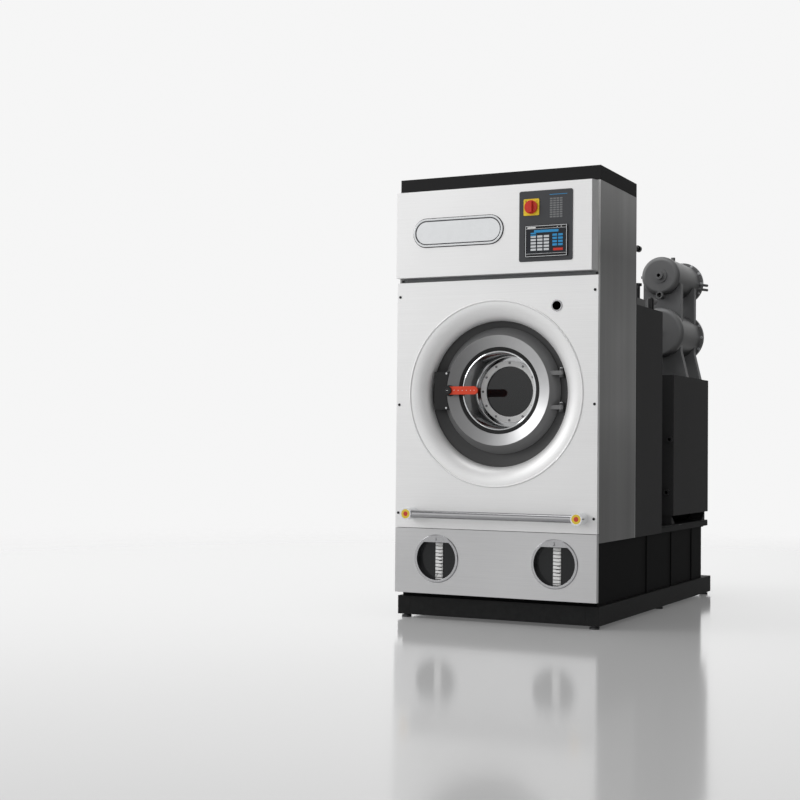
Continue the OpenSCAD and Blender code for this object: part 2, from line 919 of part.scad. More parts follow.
module lower_panel() {
  color([0.7, 0.71, 0.72])
    difference() {
      tray_y(-half_w, half_w, -panel_d, 0, lower_z, lower_z + lower_panel_h, sheet_t);
      at_gauges()
        rod_y(0, 0, -panel_d - over, -panel_d + sheet_t + over, gauge_hole_r);
    }
}

module panel_screws() {
  color(black)
    both_sides() {
      for (z = screw_heights) {
        rod_y(screw_x, z, -panel_d - screw_head_h, -panel_d, screw_head_r);
        rod_y(screw_x, z, -panel_d - over, sheet_t, screw_r);
      }
      rod_y(screw_x, strip_screw_z, -screw_head_h, 0, screw_head_r);
      rod_y(screw_x, strip_screw_z, -over, sheet_t, screw_r);
    }
}

module nameplate() {
  color(chrome)
    translate([plate_x, 0, upper_z + plate_rise])
      difference() {
        slab_y(-upper_d - plate_t, -upper_d)
          stadium(plate_l, plate_h);
        slab_y(-upper_d - plate_t - over, -upper_d - plate_t / 2)
          stadium(plate_l - 2 * plate_rim, plate_h - 2 * plate_rim);
      }
}

module control_plate() {
  color(dark_steel)
    difference() {
      translate([control_x, 0, control_z])
        slab_y(control_y, -upper_d)
          round_rect(control_w, control_h, control_corner);
      rod_y(switch_x, switch_z, control_y - over, -upper_d + over, spindle_r + 2);
      block(screen_x - screen_body_w / 2 - over, screen_x + screen_body_w / 2 + over,
            control_y - over, -upper_d + over,
            screen_z - screen_body_h / 2 - over, screen_z + screen_body_h / 2 + over);
    }
}

module switch_plate() {
  color([0.95, 0.82, 0.1])
    difference() {
      translate([switch_x, 0, switch_z])
        slab_y(switch_y, control_y)
          round_rect(switch_w, switch_w, 5);
      rod_y(switch_x, switch_z, switch_y - over, control_y + over, spindle_r + run_gap);
    }
}

module main_switch_knob() {
  base_h = knob_h * 0.45;
  color([0.85, 0.2, 0.12]) {
    rod_y(switch_x, switch_z, switch_y - base_h, switch_y - seat_gap, knob_r);
    difference() {
      rod_y(switch_x, switch_z, switch_y - knob_h, switch_y - base_h, knob_r - 4);
      for (s = [-1, 1])
        translate([switch_x + s * knob_r, 0, switch_z])
          block(-knob_r * 0.66, knob_r * 0.66, switch_y - knob_h - over, switch_y - base_h, -knob_r, knob_r);
    }
    rod_y(switch_x, switch_z, switch_y - over, -upper_d + 12, spindle_r);
  }
}

module touch_screen() {
  color(black)
    translate([screen_x, 0, screen_z])
      difference() {
        union() {
          slab_y(control_y - screen_t, control_y)
            round_rect(screen_w, screen_h, 6);
          slab_y(control_y, control_y + screen_d)
            square([screen_body_w, screen_body_h], center = true);
        }
        slab_y(control_y - screen_t - over, control_y - screen_t + 1.5)
          square([screen_body_w, screen_body_h - 14], center = true);
      }
}

module port_ring() {
  tube_r = port_bore_r + port_wall;
  color(chrome)
    turned_y(port_x, door_z + port_rise,
             [[port_bore_r, -panel_d - 3], [port_r, -panel_d - 3], [port_r, -panel_d], [tube_r, -panel_d],
              [tube_r, -panel_d + 50], [port_bore_r, -panel_d + 50]]);
}

// ---- Gauges and grab rail ----

// Moves a piece to each of the two gauges
module at_gauges() {
  for (s = [-1, 1])
    translate([gauge_shift + s * gauge_out, 0, gauge_z])
      children();
}

module gauge_bezels() {
  color(chrome)
    at_gauges() {
      turned_y(0, 0, [[gauge_in_r, -panel_d - bezel_t], [gauge_r - 3, -panel_d - bezel_t],
                      [gauge_r, -panel_d], [gauge_tube_r, -panel_d],
                      [gauge_tube_r, gauge_back_y], [gauge_in_r - gauge_lip, gauge_back_y],
                      [gauge_in_r - gauge_lip, gauge_back_y - bezel_wall],
                      [gauge_in_r, gauge_back_y - bezel_wall]]);
      difference() {
        rod_y(0, 0, -panel_d - bezel_t, -panel_d - bezel_t + 3, gauge_in_r + over);
        block(-gauge_r, gauge_r, -panel_d - bezel_t - over, -panel_d, -gauge_r, segment_rise);
      }
    }
}

module gauge_windows() {
  color(black)
    at_gauges()
      rod_y(0, 0, window_back_y - window_thick, window_back_y, gauge_in_r - seat_gap);
}

module gauge_scales() {
  scale_back_y = window_back_y - window_thick - seat_gap;
  mark_pitch = (segment_rise + gauge_in_r - 16) / scale_marks;
  color([0.9, 0.9, 0.88])
    at_gauges()
      intersection() {
        union() {
          block(3 - scale_w / 2, scale_w / 2 + 3, scale_back_y - 3, scale_back_y,
                -gauge_in_r, segment_rise);
          for (i = [0:scale_marks - 1])
            block(-1, scale_w / 2, scale_back_y - 7, scale_back_y - 2,
                  12 - gauge_in_r + i * mark_pitch, 12 - gauge_in_r + (i + 0.7) * mark_pitch);
        }
        rod_y(0, 0, scale_back_y - 10, scale_back_y, gauge_in_r - 2);
      }
}

// From the rail's middle to the bottom of a socket
socket_x = post_out - post_r + bar_socket;

module rail_posts() {
  color(chrome)
    difference() {
      for (s = [-1, 1])
        rod_y(grab_shift + s * post_out, rail_z, front_y, -panel_d, post_r);
      rod_x(bar_y, rail_z, grab_shift - socket_x, grab_shift + socket_x, bar_r + seat_gap);
    }
}

module grab_rail() {
  reach = socket_x - seat_gap;
  color(chrome)
    rod_x(bar_y, rail_z, grab_shift - reach, grab_shift + reach, bar_r);
}

// ---- Door ----

// Inner corner of the door casting, where face and flank meet at the back
face_fall = face_slope / (face_r - face_hole_r);
flank_rise = flank_run / flank_d;
face_wall = door_wall * sqrt(1 + face_fall * face_fall);
corner_y = (face_in_y + face_wall - face_fall * (face_r - flank_wall - flank_rise * face_y - face_hole_r))
           / (1 + face_fall * flank_rise);
corner_r = face_r - flank_wall + flank_rise * (corner_y - face_y);

// Back of the door's face at a radius r
function face_back(r) = face_in_y + face_wall - face_fall * (r - face_hole_r);

module door_pan() {
  arm_z = hinge_pitch / 2;
  color([0.72, 0.72, 0.73])
    difference() {
      union() {
        turned_y(0, door_z, [[face_hole_r, face_in_y], [face_r, face_y], [rim_r, rim_y], [rim_r, rim_back_y],
                             [seal_in_r, rim_back_y], [seal_in_r, rim_y], [rim_r - flank_wall, rim_y],
                             [corner_r, corner_y], [face_hole_r, face_back(face_hole_r)]]);
        difference() {
          for (s = [-1, 1])
            translate([0, 0, door_z + s * arm_z - arm_h / 2]) {
              block(face_r - 6, hinge_x, hinge_y - arm_t / 2, hinge_y + arm_t / 2, 0, arm_h);
              rod_z(hinge_x, hinge_y, 0, arm_h, knuckle_r);
            }
          turned_y(0, door_z, [[0, face_y], [corner_r, corner_y], [rim_r - flank_wall, rim_y], [0, rim_y]]);
        }
      }
      rod_z(hinge_x, hinge_y, door_z - arm_z - arm_h, door_z + arm_z + arm_h, hinge_pin_r + run_gap);
    }
}

bowl_steps = 9;
lip_r = bowl_r + bowl_lip_w;
lip_y = face_back(bowl_r) + seat_gap;
// The bowl's wall: a quarter ellipse, moved outwards by a distance t
function bowl_wall(a, t) = [bowl_floor_r + (bowl_r - bowl_floor_r) * cos(a) + t * cos(a),
                            lip_y + (bowl_floor_y - lip_y) * sin(a) + t * sin(a)];

module door_bowl() {
  floor_in_r = glass_view_r + 3;
  color(chrome)
    difference() {
      turned_y(0, door_z, concat(
        [[lip_r, face_back(lip_r) + seat_gap + bowl_t], [lip_r, face_back(lip_r) + seat_gap]],
        [for (i = [0:bowl_steps]) bowl_wall(90 * i / bowl_steps, 0)],
        [[floor_in_r, bowl_floor_y], [floor_in_r, bowl_floor_y + bowl_t]],
        [for (i = [bowl_steps:-1:1]) bowl_wall(90 * i / bowl_steps, bowl_t)],
        [[bowl_r + bowl_t, face_back(bowl_r + bowl_t) + seat_gap + bowl_t]]));
      at_window_bolts()
        rod_y(0, 0, bowl_floor_y - over, bowl_floor_y + bowl_t + over, bolt_r + hole_gap);
    }
}

// Moves a piece to each of the window's bolts
module at_window_bolts() {
  for (i = [0:bolt_count - 1])
    translate([bolt_circle_r * sin(360 * i / bolt_count), 0,
               door_z + bolt_circle_r * cos(360 * i / bolt_count)])
      children();
}

module window_flange() {
  spacer_r = glass_r + seat_gap;
  floor_back_y = bowl_floor_y + bowl_t;
  color([0.93, 0.93, 0.93])
    difference() {
      union() {
        turned_y(0, door_z, [[glass_view_r, bowl_floor_y - window_t], [window_r, bowl_floor_y - window_t],
                             [window_r, bowl_floor_y], [glass_view_r, bowl_floor_y]]);
        turned_y(0, door_z, [[glass_view_r, clamp_y], [spacer_r, clamp_y], [spacer_r, floor_back_y],
                             [window_r, floor_back_y], [window_r, clamp_y + clamp_t],
                             [glass_view_r, clamp_y + clamp_t]]);
      }
      at_window_bolts()
        rod_y(0, 0, bowl_floor_y - window_t - over, clamp_y + clamp_t + over, bolt_r + hole_gap);
    }
}

module window_bolts() {
  head_y = bowl_floor_y - window_t;
  nut_y = clamp_y + clamp_t;
  color(dark_steel)
    at_window_bolts() {
      rod_y(0, 0, head_y - bolt_head_h, head_y, bolt_head_r);
      rod_y(0, 0, head_y - over, nut_y + over, bolt_r);
      rod_y(0, 0, nut_y, nut_y + bolt_head_h, bolt_head_r);
    }
}

module door_glass() {
  color(black)
    rod_y(0, door_z, glass_y, glass_y + glass_t, glass_r);
}

module door_seal() {
  out_r = rim_r - 9;
  color(black)
    turned_y(0, door_z, [[out_r - seal_w, rim_back_y], [out_r, rim_back_y],
                         [out_r, rim_back_y + seal_t], [out_r - seal_w, rim_back_y + seal_t]]);
}

module hinge_brackets() {
  ear_gap = arm_h / 2 + seat_gap;
  web_y = hinge_y + knuckle_r + 3;
  web_x = knuckle_r;
  color(chrome)
    difference() {
      for (s = [-1, 1])
        translate([0, 0, door_z + s * hinge_pitch / 2]) {
          for (t = [-1, 1])
            translate([0, 0, t * (ear_gap + ear_h / 2) - ear_h / 2]) {
              rod_z(hinge_x, hinge_y, 0, ear_h, knuckle_r);
              block(hinge_x - web_x, hinge_x + web_x, hinge_y, tub_y, 0, ear_h);
            }
          block(hinge_x - web_x, hinge_x + web_x, web_y, tub_y, -ear_gap - ear_h, ear_gap + ear_h);
        }
      turned_y(0, door_z, [[neck_r, neck_y - seat_gap], [neck_out_r, neck_y - seat_gap],
                           [funnel_r, funnel_y - seat_gap], [funnel_r, tub_y + over],
                           [neck_r, tub_y + over]]);
      rod_z(hinge_x, hinge_y, door_z - hinge_pitch, door_z + hinge_pitch, hinge_pin_r + hole_gap);
    }
}

module hinge_pins() {
  reach = arm_h / 2 + seat_gap + ear_h;
  head_h = 3;
  color(steel)
    for (s = [-1, 1])
      translate([0, 0, door_z + s * hinge_pitch / 2]) {
        rod_z(hinge_x, hinge_y, -reach, reach + head_h, hinge_pin_r);
        rod_z(hinge_x, hinge_y, reach, reach + head_h, hinge_pin_r + 2.5);
      }
}

pivot_x = -latch_x - 1;
boss_r = lever_knob_r + 5;
spindle_tip_y = latch_y + 5;

module latch_housing() {
  color(black)
    difference() {
      union() {
        difference() {
          block(-latch_x - latch_w, -latch_x, latch_y, latch_back_y,
                door_z - latch_h / 2, door_z + latch_h / 2);
          rod_y(0, door_z, 0, latch_back_y + over, face_r + seat_gap);
        }
        rod_y(pivot_x, door_z, latch_y - lever_gap + seat_gap, latch_back_y - lever_gap, boss_r);
      }
      turned_y(0, door_z, [[0, face_in_y - 1.2 * seat_gap], [face_hole_r, face_in_y - 1.2 * seat_gap],
                           [face_r + 1.2 * seat_gap, face_y - 1.2 * seat_gap],
                           [rim_r + 1.2 * seat_gap, rim_y], [0, rim_y]]);
      rod_y(pivot_x, door_z, 0, latch_back_y, lever_spindle_r + run_gap);
    }
}

module latch_lever() {
  color([0.85, 0.24, 0.16])
    difference() {
      translate([pivot_x + (lever_l - lever_h / 2) / 2, 0, door_z])
        slab_y(lever_y, lever_y + lever_t)
          stadium(lever_l + lever_h / 2, lever_h);
      rod_y(pivot_x, door_z, lever_y - over, lever_y + lever_t + over, lever_spindle_r + run_gap);
    }
}

module latch_spindle() {
  color(black) {
    rod_y(pivot_x, door_z, lever_y - lever_knob_h, lever_y, lever_knob_r);
    rod_y(pivot_x, door_z, lever_y - over, spindle_tip_y, lever_spindle_r);
  }
}

// ---- Tub and drum ----

air_x0 = duct_neck_x + 10;
air_x1 = duct_neck_x + duct_neck_w - 10;
trap_wall = 3;
fold = trap_wall + seat_gap;
trap_inset = 15;

module tub_shell() {
  shell_y = tub_y + tub_t;
  back_y = tub_back_y - tub_back_t;
  color(grey)
    difference() {
      union() {
        rod_y(0, door_z, shell_y, tub_back_y, tub_r);
        both_sides()
          block(tub_foot_x - tub_foot_t / 2, tub_foot_x + tub_foot_t / 2, shell_y + 20, tub_back_y - 20,
                deck_z, door_z - tub_r / 2);
      }
      rod_y(0, door_z, shell_y - over, back_y, tub_r - tub_t);
      rod_y(0, door_z, back_y - over, tub_back_y + over, hub_hole_r);
      block(air_x0, air_x1, neck_front_y + 10, neck_back_y - 10, door_z, beam_z);
      block(-trap_w / 2 + trap_inset, trap_w / 2 - trap_inset,
            trap_y + trap_inset, trap_y + trap_d - trap_inset, trap_z, door_z);
    }
}

module tub_front() {
  funnel_t = 4;
  color(dark_steel)
    turned_y(0, door_z, [[tub_r, tub_y + tub_t], [tub_r, tub_y], [neck_out_r + funnel_t, tub_y],
                         [neck_out_r + funnel_t, neck_y + funnel_t], [funnel_r, funnel_y + funnel_t],
                         [funnel_r, funnel_y], [neck_out_r, neck_y], [neck_r, neck_y],
                         [neck_r, tub_y + tub_t]]);
}

module drum_shell() {
  row_step = drum_d / (perf_rows + 1);
  shell_front_y = drum_y + drum_t;
  color(chrome)
    difference() {
      rod_y(0, door_z, shell_front_y, drum_back_y, drum_r);
      rod_y(0, door_z, shell_front_y - over, drum_back_y + over, drum_r - drum_t);
      for (row = [1:perf_rows], i = [0:perf_count - 1])
        translate([0, drum_y + row * row_step, door_z])
          rotate([0, 360 * (i + 0.5 * (row % 2)) / perf_count, 0])
            rod_z(0, 0, drum_r - 12, drum_r + 12, perf_r);
    }
}

module drum_end_plates() {
  lip_d = 14;
  color(chrome) {
    turned_y(0, door_z, [[mouth_r, drum_y], [drum_r, drum_y], [drum_r, drum_y + drum_t],
                         [mouth_r + drum_t, drum_y + drum_t], [mouth_r + drum_t, drum_y + lip_d],
                         [mouth_r, drum_y + lip_d]]);
    rod_y(0, door_z, drum_back_y, shaft_y, drum_r);
  }
}

module drum_lifters() {
  top_w = lifter_w * 0.3;
  in_r = drum_r - drum_t - seat_gap;
  color(chrome)
    intersection() {
      for (i = [0:lifter_count - 1])
        translate([0, 0, door_z])
          rotate([0, 360 * i / lifter_count, 0])
            slab_y(drum_y + drum_t + seat_gap, drum_back_y - seat_gap)
              polygon([[-lifter_w / 2, -drum_r], [lifter_w / 2, -drum_r],
                       [top_w / 2, lifter_h - drum_r], [-top_w / 2, lifter_h - drum_r]]);
      rod_y(0, door_z, drum_y, drum_back_y, in_r);
    }
}

module drum_shaft() {
  color(steel) {
    rod_y(0, door_z, shaft_y, shaft_y + shaft_flange_t, shaft_flange_r);
    rod_y(0, door_z, shaft_y, pulley_back_y, shaft_r);
    rod_y(0, door_z, pulley_back_y, pulley_back_y + 8, shaft_r + 10);
  }
}

module bearing_housing() {
  bore_r = bearing_r + run_gap;
  color(dark_steel)
    turned_y(0, door_z, [[hub_hole_r, tub_back_y], [housing_flange_r, tub_back_y],
                         [housing_flange_r, tub_back_y + housing_flange_t],
                         [housing_r, tub_back_y + housing_flange_t], [housing_r, housing_back_y],
                         [hub_hole_r, housing_back_y], [hub_hole_r, housing_back_y - shoulder],
                         [bore_r, housing_back_y - shoulder], [bore_r, tub_back_y + shoulder],
                         [hub_hole_r, tub_back_y + shoulder]]);
}

module drum_bearings() {
  color(steel)
    for (y = bearing_y)
      difference() {
        rod_y(0, door_z, y, y + bearing_w, bearing_r);
        rod_y(0, door_z, y - over, y + bearing_w + over, shaft_r + run_gap);
      }
}

// ---- Drive ----

// A flat-belt pulley with an edge on both sides of the belt seat
module pulley(x, z, seat_r, hub_r, bore_r) {
  edge_w = (pulley_w - groove_w) / 2;
  turned_y(x, z, [[bore_r, pulley_y], [seat_r + pulley_edge, pulley_y],
                  [seat_r + pulley_edge, pulley_y + edge_w], [seat_r, pulley_y + edge_w],
                  [seat_r, pulley_back_y - edge_w], [seat_r + pulley_edge, pulley_back_y - edge_w],
                  [seat_r + pulley_edge, pulley_back_y], [seat_r - pulley_edge, pulley_back_y],
                  [seat_r - pulley_edge, pulley_y + pulley_edge], [hub_r, pulley_y + pulley_edge],
                  [hub_r, pulley_back_y], [bore_r, pulley_back_y]]);
}

module drum_pulley() {
  color(dark_steel)
    pulley(0, door_z, pulley_r, shaft_r + 25, shaft_r + run_gap);
}

module motor_pulley() {
  color(dark_steel) {
    pulley(motor_x, motor_z, motor_pulley_r, motor_shaft_r + 8, motor_shaft_r - over);
    rod_y(motor_x, motor_z, pulley_y, motor_y + motor_socket, motor_shaft_r);
  }
}

// Outline of the belt a distance t outside the seats, in short straight steps
belt_steps = 36;
belt_drop = door_z - motor_z;
belt_heading = atan2(-belt_drop, motor_x);
belt_lean = acos((pulley_r - motor_pulley_r) / sqrt(motor_x * motor_x + belt_drop * belt_drop));
function belt_outline(t) = concat(
  [for (i = [0:belt_steps])
    let (a = belt_heading + belt_lean + (360 - 2 * belt_lean) * i / belt_steps)
      [(pulley_r + t) * cos(a), door_z + (pulley_r + t) * sin(a)]],
  [for (i = [0:belt_steps / 2])
    let (a = belt_heading - belt_lean + 4 * belt_lean * i / belt_steps)
      [motor_x + (motor_pulley_r + t) * cos(a), motor_z + (motor_pulley_r + t) * sin(a)]]);

module drive_belt() {
  belt_y = pulley_y + (pulley_w - belt_w) / 2;
  inner = 2 * seat_gap;
  color(black)
    slab_y(belt_y, belt_y + belt_w)
      difference() {
        polygon(belt_outline(inner + belt_t));
        polygon(belt_outline(inner));
      }
}

module drive_motor() {
  end_y = motor_y + motor_l;
  fin_step = motor_l / 6;
  color(motor_blue)
    difference() {
      union() {
        rod_y(motor_x, motor_z, motor_y, end_y, motor_r - 8);
        for (i = [1:5])
          rod_y(motor_x, motor_z, motor_y + i * fin_step - 6, motor_y + i * fin_step + 6, motor_r);
        block(motor_x - motor_r * 0.8, motor_x + motor_r * 0.8, motor_y + 20, end_y - 20,
              deck_z, deck_z + 12);
        block(motor_x - motor_r * 0.5, motor_x + motor_r * 0.5, motor_y + 30, end_y - 30,
              deck_z, motor_z);
      }
      rod_y(motor_x, motor_z, motor_y - over, motor_y + motor_socket + over, motor_shaft_r + run_gap);
    }
}

// ---- Air circuit ----

module fan_housing() {
  outlet_top_z = fan_z + fan_r;
  outlet_x = duct_end_x + seat_gap;
  color(steel)
    difference() {
      union() {
        rod_y(fan_x, fan_z, fan_y, fan_back_y, fan_r);
        block(outlet_x, fan_x, fan_y, fan_back_y, outlet_z, outlet_top_z);
        block(fan_x - fan_r / 2, fan_x + fan_r / 2, fan_y + 5, fan_y + 25, beam_top_z, fan_z);
      }
      rod_y(fan_x, fan_z, fan_y + fan_wall, fan_back_y - fan_wall, fan_r - fan_wall);
      block(outlet_x - over, fan_x, fan_y + fan_wall, fan_back_y - fan_wall,
            outlet_z + fan_wall, outlet_top_z - fan_wall);
      rod_y(fan_x, fan_z, fan_y - over, fan_y + fan_wall + over, fan_inlet_r);
      rod_y(fan_x, fan_z, fan_back_y - fan_wall - over, fan_back_y + over, fan_shaft_r + 5);
    }
}

module fan_impeller() {
  front_y = fan_y + fan_wall + 7;
  back_y = fan_back_y - fan_wall - 10;
  plate_w = 3;
  blade_w = 3;
  color(dark_steel) {
    rod_y(fan_x, fan_z, back_y - plate_w, back_y, impeller_r);
    difference() {
      rod_y(fan_x, fan_z, front_y, front_y + plate_w, impeller_r);
      rod_y(fan_x, fan_z, front_y - over, front_y + plate_w + over, fan_inlet_r);
    }
    for (i = [0:blade_count - 1])
      translate([fan_x, 0, fan_z])
        rotate([0, 360 * i / blade_count, 0])
          block(-blade_w / 2, blade_w / 2, front_y + over, back_y - over, fan_inlet_r - 5, impeller_r - 2);
    rod_y(fan_x, fan_z, back_y - 30, back_y, fan_shaft_r + 12);
    rod_y(fan_x, fan_z, back_y - over, fan_back_y + motor_socket, fan_shaft_r);
  }
}

module fan_motor() {
  front_y = fan_back_y + seat_gap;
  end_y = fan_back_y + fan_motor_l;
  foot_x = fan_motor_r * 0.625;
  foot_y = end_y - fan_motor_l * 0.467;
  color(motor_blue)
    difference() {
      union() {
        rod_y(fan_x, fan_z, front_y, end_y, fan_motor_r);
        block(fan_x - foot_x, fan_x + foot_x, foot_y, end_y, beam_top_z, fan_z);
        block(fan_x - foot_x, fan_x + foot_x, foot_y, beam_back_y + tube_w - 5, beam_top_z, beam_top_z + 10);
      }
      rod_y(fan_x, fan_z, front_y - over, fan_back_y + motor_socket + over, fan_shaft_r + run_gap);
    }
}

// A flat plate from a to b round an opening from c to d, in four strips
module strips(a, b, c, d) {
  for (y = [[a[1], c[1] - seat_gap], [d[1] + seat_gap, b[1]]])
    translate([a[0], y[0]])
      square([b[0] - a[0], y[1] - y[0]]);
  for (x = [[a[0], c[0]], [d[0], b[0]]])
    translate([x[0], c[1]])
      square([x[1] - x[0], d[1] - c[1]]);
}

module air_duct() {
  wall = 3;
  duct_top_z = duct_z + duct_h;
  back_y = duct_y + duct_d;
  neck_end_x = duct_neck_x + duct_neck_w;
  color(steel) {
    block(duct_x, duct_end_x, duct_y, back_y, duct_top_z - wall, duct_top_z);
    for (y = [duct_y, back_y - wall])
      block(duct_x, duct_end_x, y, y + wall, duct_z + fold, duct_top_z - fold);
    block(duct_x, duct_x + wall, duct_y + fold, back_y - fold, duct_z + fold, duct_top_z - fold);
    translate([duct_end_x - wall, 0, 0])
      rotate([90, 0, 90])
        linear_extrude(wall)
          strips([duct_y + fold, duct_z + fold], [back_y - fold, duct_top_z - fold],
                 [fan_y + wall, outlet_z + wall], [fan_back_y - wall, fan_z + fan_r - wall]);
    translate([0, 0, duct_z])
      linear_extrude(wall)
        strips([duct_x, duct_y], [duct_end_x, back_y], [duct_neck_x + wall, neck_front_y + wall],
               [neck_end_x - wall, neck_back_y - wall]);
    difference() {
      for (s = [0, 1]) {
        translate([s * (duct_neck_w - wall), 0, 0])
          block(duct_neck_x, duct_neck_x + wall, neck_front_y, neck_back_y, door_z, duct_z - seat_gap);
        translate([0, s * (neck_back_y - neck_front_y - wall), 0])
          block(duct_neck_x + fold, neck_end_x - fold, neck_front_y, neck_front_y + wall,
                door_z, duct_z - seat_gap);
      }
      rod_y(0, door_z, 0, cab_d, tub_r + seat_gap);
    }
  }
}

module air_coil() {
  coil_front_y = duct_y + 20;
  coil_back_y = duct_y + duct_d - 20;
  coil_z = duct_z + 3 + seat_gap;
  step = 2.6 * coil_pipe_r;
  coil_x = duct_x + 190;
  height = (coil_pipes + 1) * step;
  color([0.72, 0.45, 0.2]) {
    for (y = [coil_front_y, coil_back_y - 4])
      block(coil_x - step, coil_x + step * 2, y, y + 4, coil_z, coil_z + height);
    for (i = [1:coil_pipes], j = [0, 1])
      rod_y(coil_x + j * step, coil_z + i * step, coil_front_y + over, coil_back_y - over, coil_pipe_r);
  }
}

// ---- Solvent circuit ----

module button_trap() {
  x = trap_w / 2;
  leg_w = 24;
  wall_z = trap_z + fold;
  color(steel) {
    block(-x, x, trap_y, trap_y + trap_d, trap_z, trap_z + trap_wall);
    for (lx = [-x, x - leg_w], ly = [0, trap_d - leg_w])
      block(lx, lx + leg_w, trap_y + ly, trap_y + ly + leg_w, deck_z, trap_z - seat_gap);
    difference() {
      for (s = [0, 1]) {
        translate([0, s * (trap_d - trap_wall), 0])
          block(-x, x, trap_y, trap_y + trap_wall, wall_z, door_z);
        translate([s * (trap_w - trap_wall), 0, 0])
          block(-x, trap_wall - x, trap_y + fold, trap_y + trap_d - fold, wall_z, door_z);
      }
      rod_y(0, door_z, 0, cab_d, tub_r + seat_gap);
    }
  }
}

module solvent_pump() {
  casing_d = 60;
  pump_motor_l = 200;
  motor_front_y = pump_y + casing_d;
  color(motor_blue) {
    rod_y(pump_x, pump_z, pump_y, motor_front_y, pump_r);
    rod_y(pump_x, pump_z, pump_y - 20, pump_y + over, 20);
    rod_z(pump_x + pump_r - 20, pump_y + casing_d / 2, pump_z, pump_z + pump_r + 40, 18);
    rod_y(pump_x, pump_z, motor_front_y - over, motor_front_y + pump_motor_l, pump_motor_r);
    block(pump_x - 45, pump_x + 45, motor_front_y + 30, motor_front_y + pump_motor_l - 30, deck_z, pump_z);
  }
}

module valve_manifold() {
  x0 = valve_x - valve_w / 2;
  x1 = valve_x + valve_w / 2;
  body_y = cab_d + rear_d / 4;
  body_l = rear_d * 0.31;
  body_h = valve_w * 0.7;
  pipe_y = rear_back_y - 24;
  z = rear_top_z;
  color(black) {
    block(x0, x1, body_y, body_y + body_l, z, z + body_h);
    for (i = [0, 1])
      translate([valve_x, body_y + 35 + i * 60, z + body_h - over]) {
        rod_z(0, 0, 0, 48 + i * 16, valve_w / 4);
        rod_z(0, 0, 48 + i * 16, 60 + i * 16, valve_w / 2.6);
      }
    rod_y(valve_x, z + body_h / 2, body_y - 16, body_y + body_l + 40, valve_w / 4.5);
    rod_z(valve_x + 7, pipe_y, z, z + 56, 16);
    translate([valve_x + 7, pipe_y, z + 56])
      sphere(16);
    rod_y(valve_x + 7, z + 56, pipe_y, pipe_y + 60, 16);
  }
}

// ---- Rear cover and control cabinet ----

module rear_cover() {
  front = cab_d + seat_gap;
  in_x = half_w - sheet_t - seat_gap;
  top_in_z = rear_top_z - sheet_t;
  color(charcoal) {
    both_sides() {
      block(half_w - sheet_t, half_w, front, rear_back_y, tank_top_z, rear_top_z);
      block(half_w - flange_w, half_w, front, front + sheet_t, deck_z, top_in_z - seat_gap);
    }
    block(-in_x, in_x, front, rear_back_y, top_in_z, rear_top_z);
    block(-in_x, in_x, rear_back_y - sheet_t, rear_back_y, deck_z, top_in_z - seat_gap);
  }
}

foot_t = 4;
foot_in = 12;
foot_w = 75;

// A foot of the control cabinet with a gusset at each side
module cabinet_foot() {
  foot_d = 60;
  block(0, foot_w, 0, foot_t, 0, box_foot_h);
  block(0, foot_w, 0, foot_d, 0, foot_t);
  for (x = [0, foot_w - foot_t])
    translate([x, 0, 0])
      rotate([90, 0, 90])
        linear_extrude(foot_t)
          polygon([[0, 0], [foot_d, 0], [0, box_foot_h]]);
}

gland_d = 18;
gland_spots = [[half_w - gland_r - 3, box_z + box_h * 0.54],
               [half_w - 2 * gland_r - 2, box_z + box_h * 0.165]];

module control_cabinet() {
  back_y = box_door_y - box_door_gap;
  foot_x = box_x + foot_in;
  lug_x = box_hinge_x - 6;
  color(charcoal) {
    difference() {
      union() {
        tray_y(box_x, half_w, box_y, back_y, box_z, box_top_z, sheet_t);
        for (z = [box_z, box_top_z - lug_t])
          block(lug_x, half_w, back_y - over, box_back_y, z, z + lug_t);
        rod_z(box_hinge_x, box_hinge_y, box_z, box_z + lug_t + 14, box_pin_r);
        rod_z(box_hinge_x, box_hinge_y, box_top_z - lug_t - 14, box_top_z, box_pin_r);
        for (spot = gland_spots)
          rod_y(spot[0], spot[1], box_y - gland_d, box_y + over, gland_r);
      }
      for (spot = gland_spots)
        rod_y(spot[0], spot[1], box_y - gland_d - over, box_y + sheet_t + over, gland_r * 0.55);
    }
    block(foot_x, foot_x + foot_t, box_y + foot_in, back_y - foot_in, deck_z, box_z);
    block(foot_x, half_w - foot_in, back_y - foot_t, back_y, deck_z, box_z);
    for (x = [foot_x + foot_t + seat_gap, half_w - foot_in - foot_w], side = [0, 1])
      translate([x, side ? back_y : box_y + foot_in, deck_z])
        mirror([0, side, 0])
          cabinet_foot();
  }
}

module cabinet_door() {
  end_gap = lug_t + 0.5;
  z0 = box_z + end_gap;
  z1 = box_top_z - end_gap;
  post_x = box_hinge_x - 10;
  lock_x = box_x + 25;
  color(charcoal)
    difference() {
      union() {
        block(box_x, half_w, box_door_y, box_back_y, z0, z1);
        for (z = [box_z + box_h / 4, box_z + box_h * 3 / 4])
          rod_y(lock_x, z, box_back_y - over, box_back_y + 6, 11);
      }
      block(box_x + sheet_t, post_x, box_door_y - over, box_back_y - sheet_t, z0 + sheet_t, z1 - sheet_t);
      rod_z(box_hinge_x, box_hinge_y, z0 - over, z0 + 16, box_pin_r + run_gap);
      rod_z(box_hinge_x, box_hinge_y, z1 - 16, z1 + over, box_pin_r + run_gap);
    }
}

// ---- Still and condenser ----

plate_y = [vessel_front_y + stand_y, vessel_front_y + stand_y + stand_pitch];
vapour_y = (plate_y[0] + stand_edge + plate_y[1]) / 2;
vapour_r = 32;

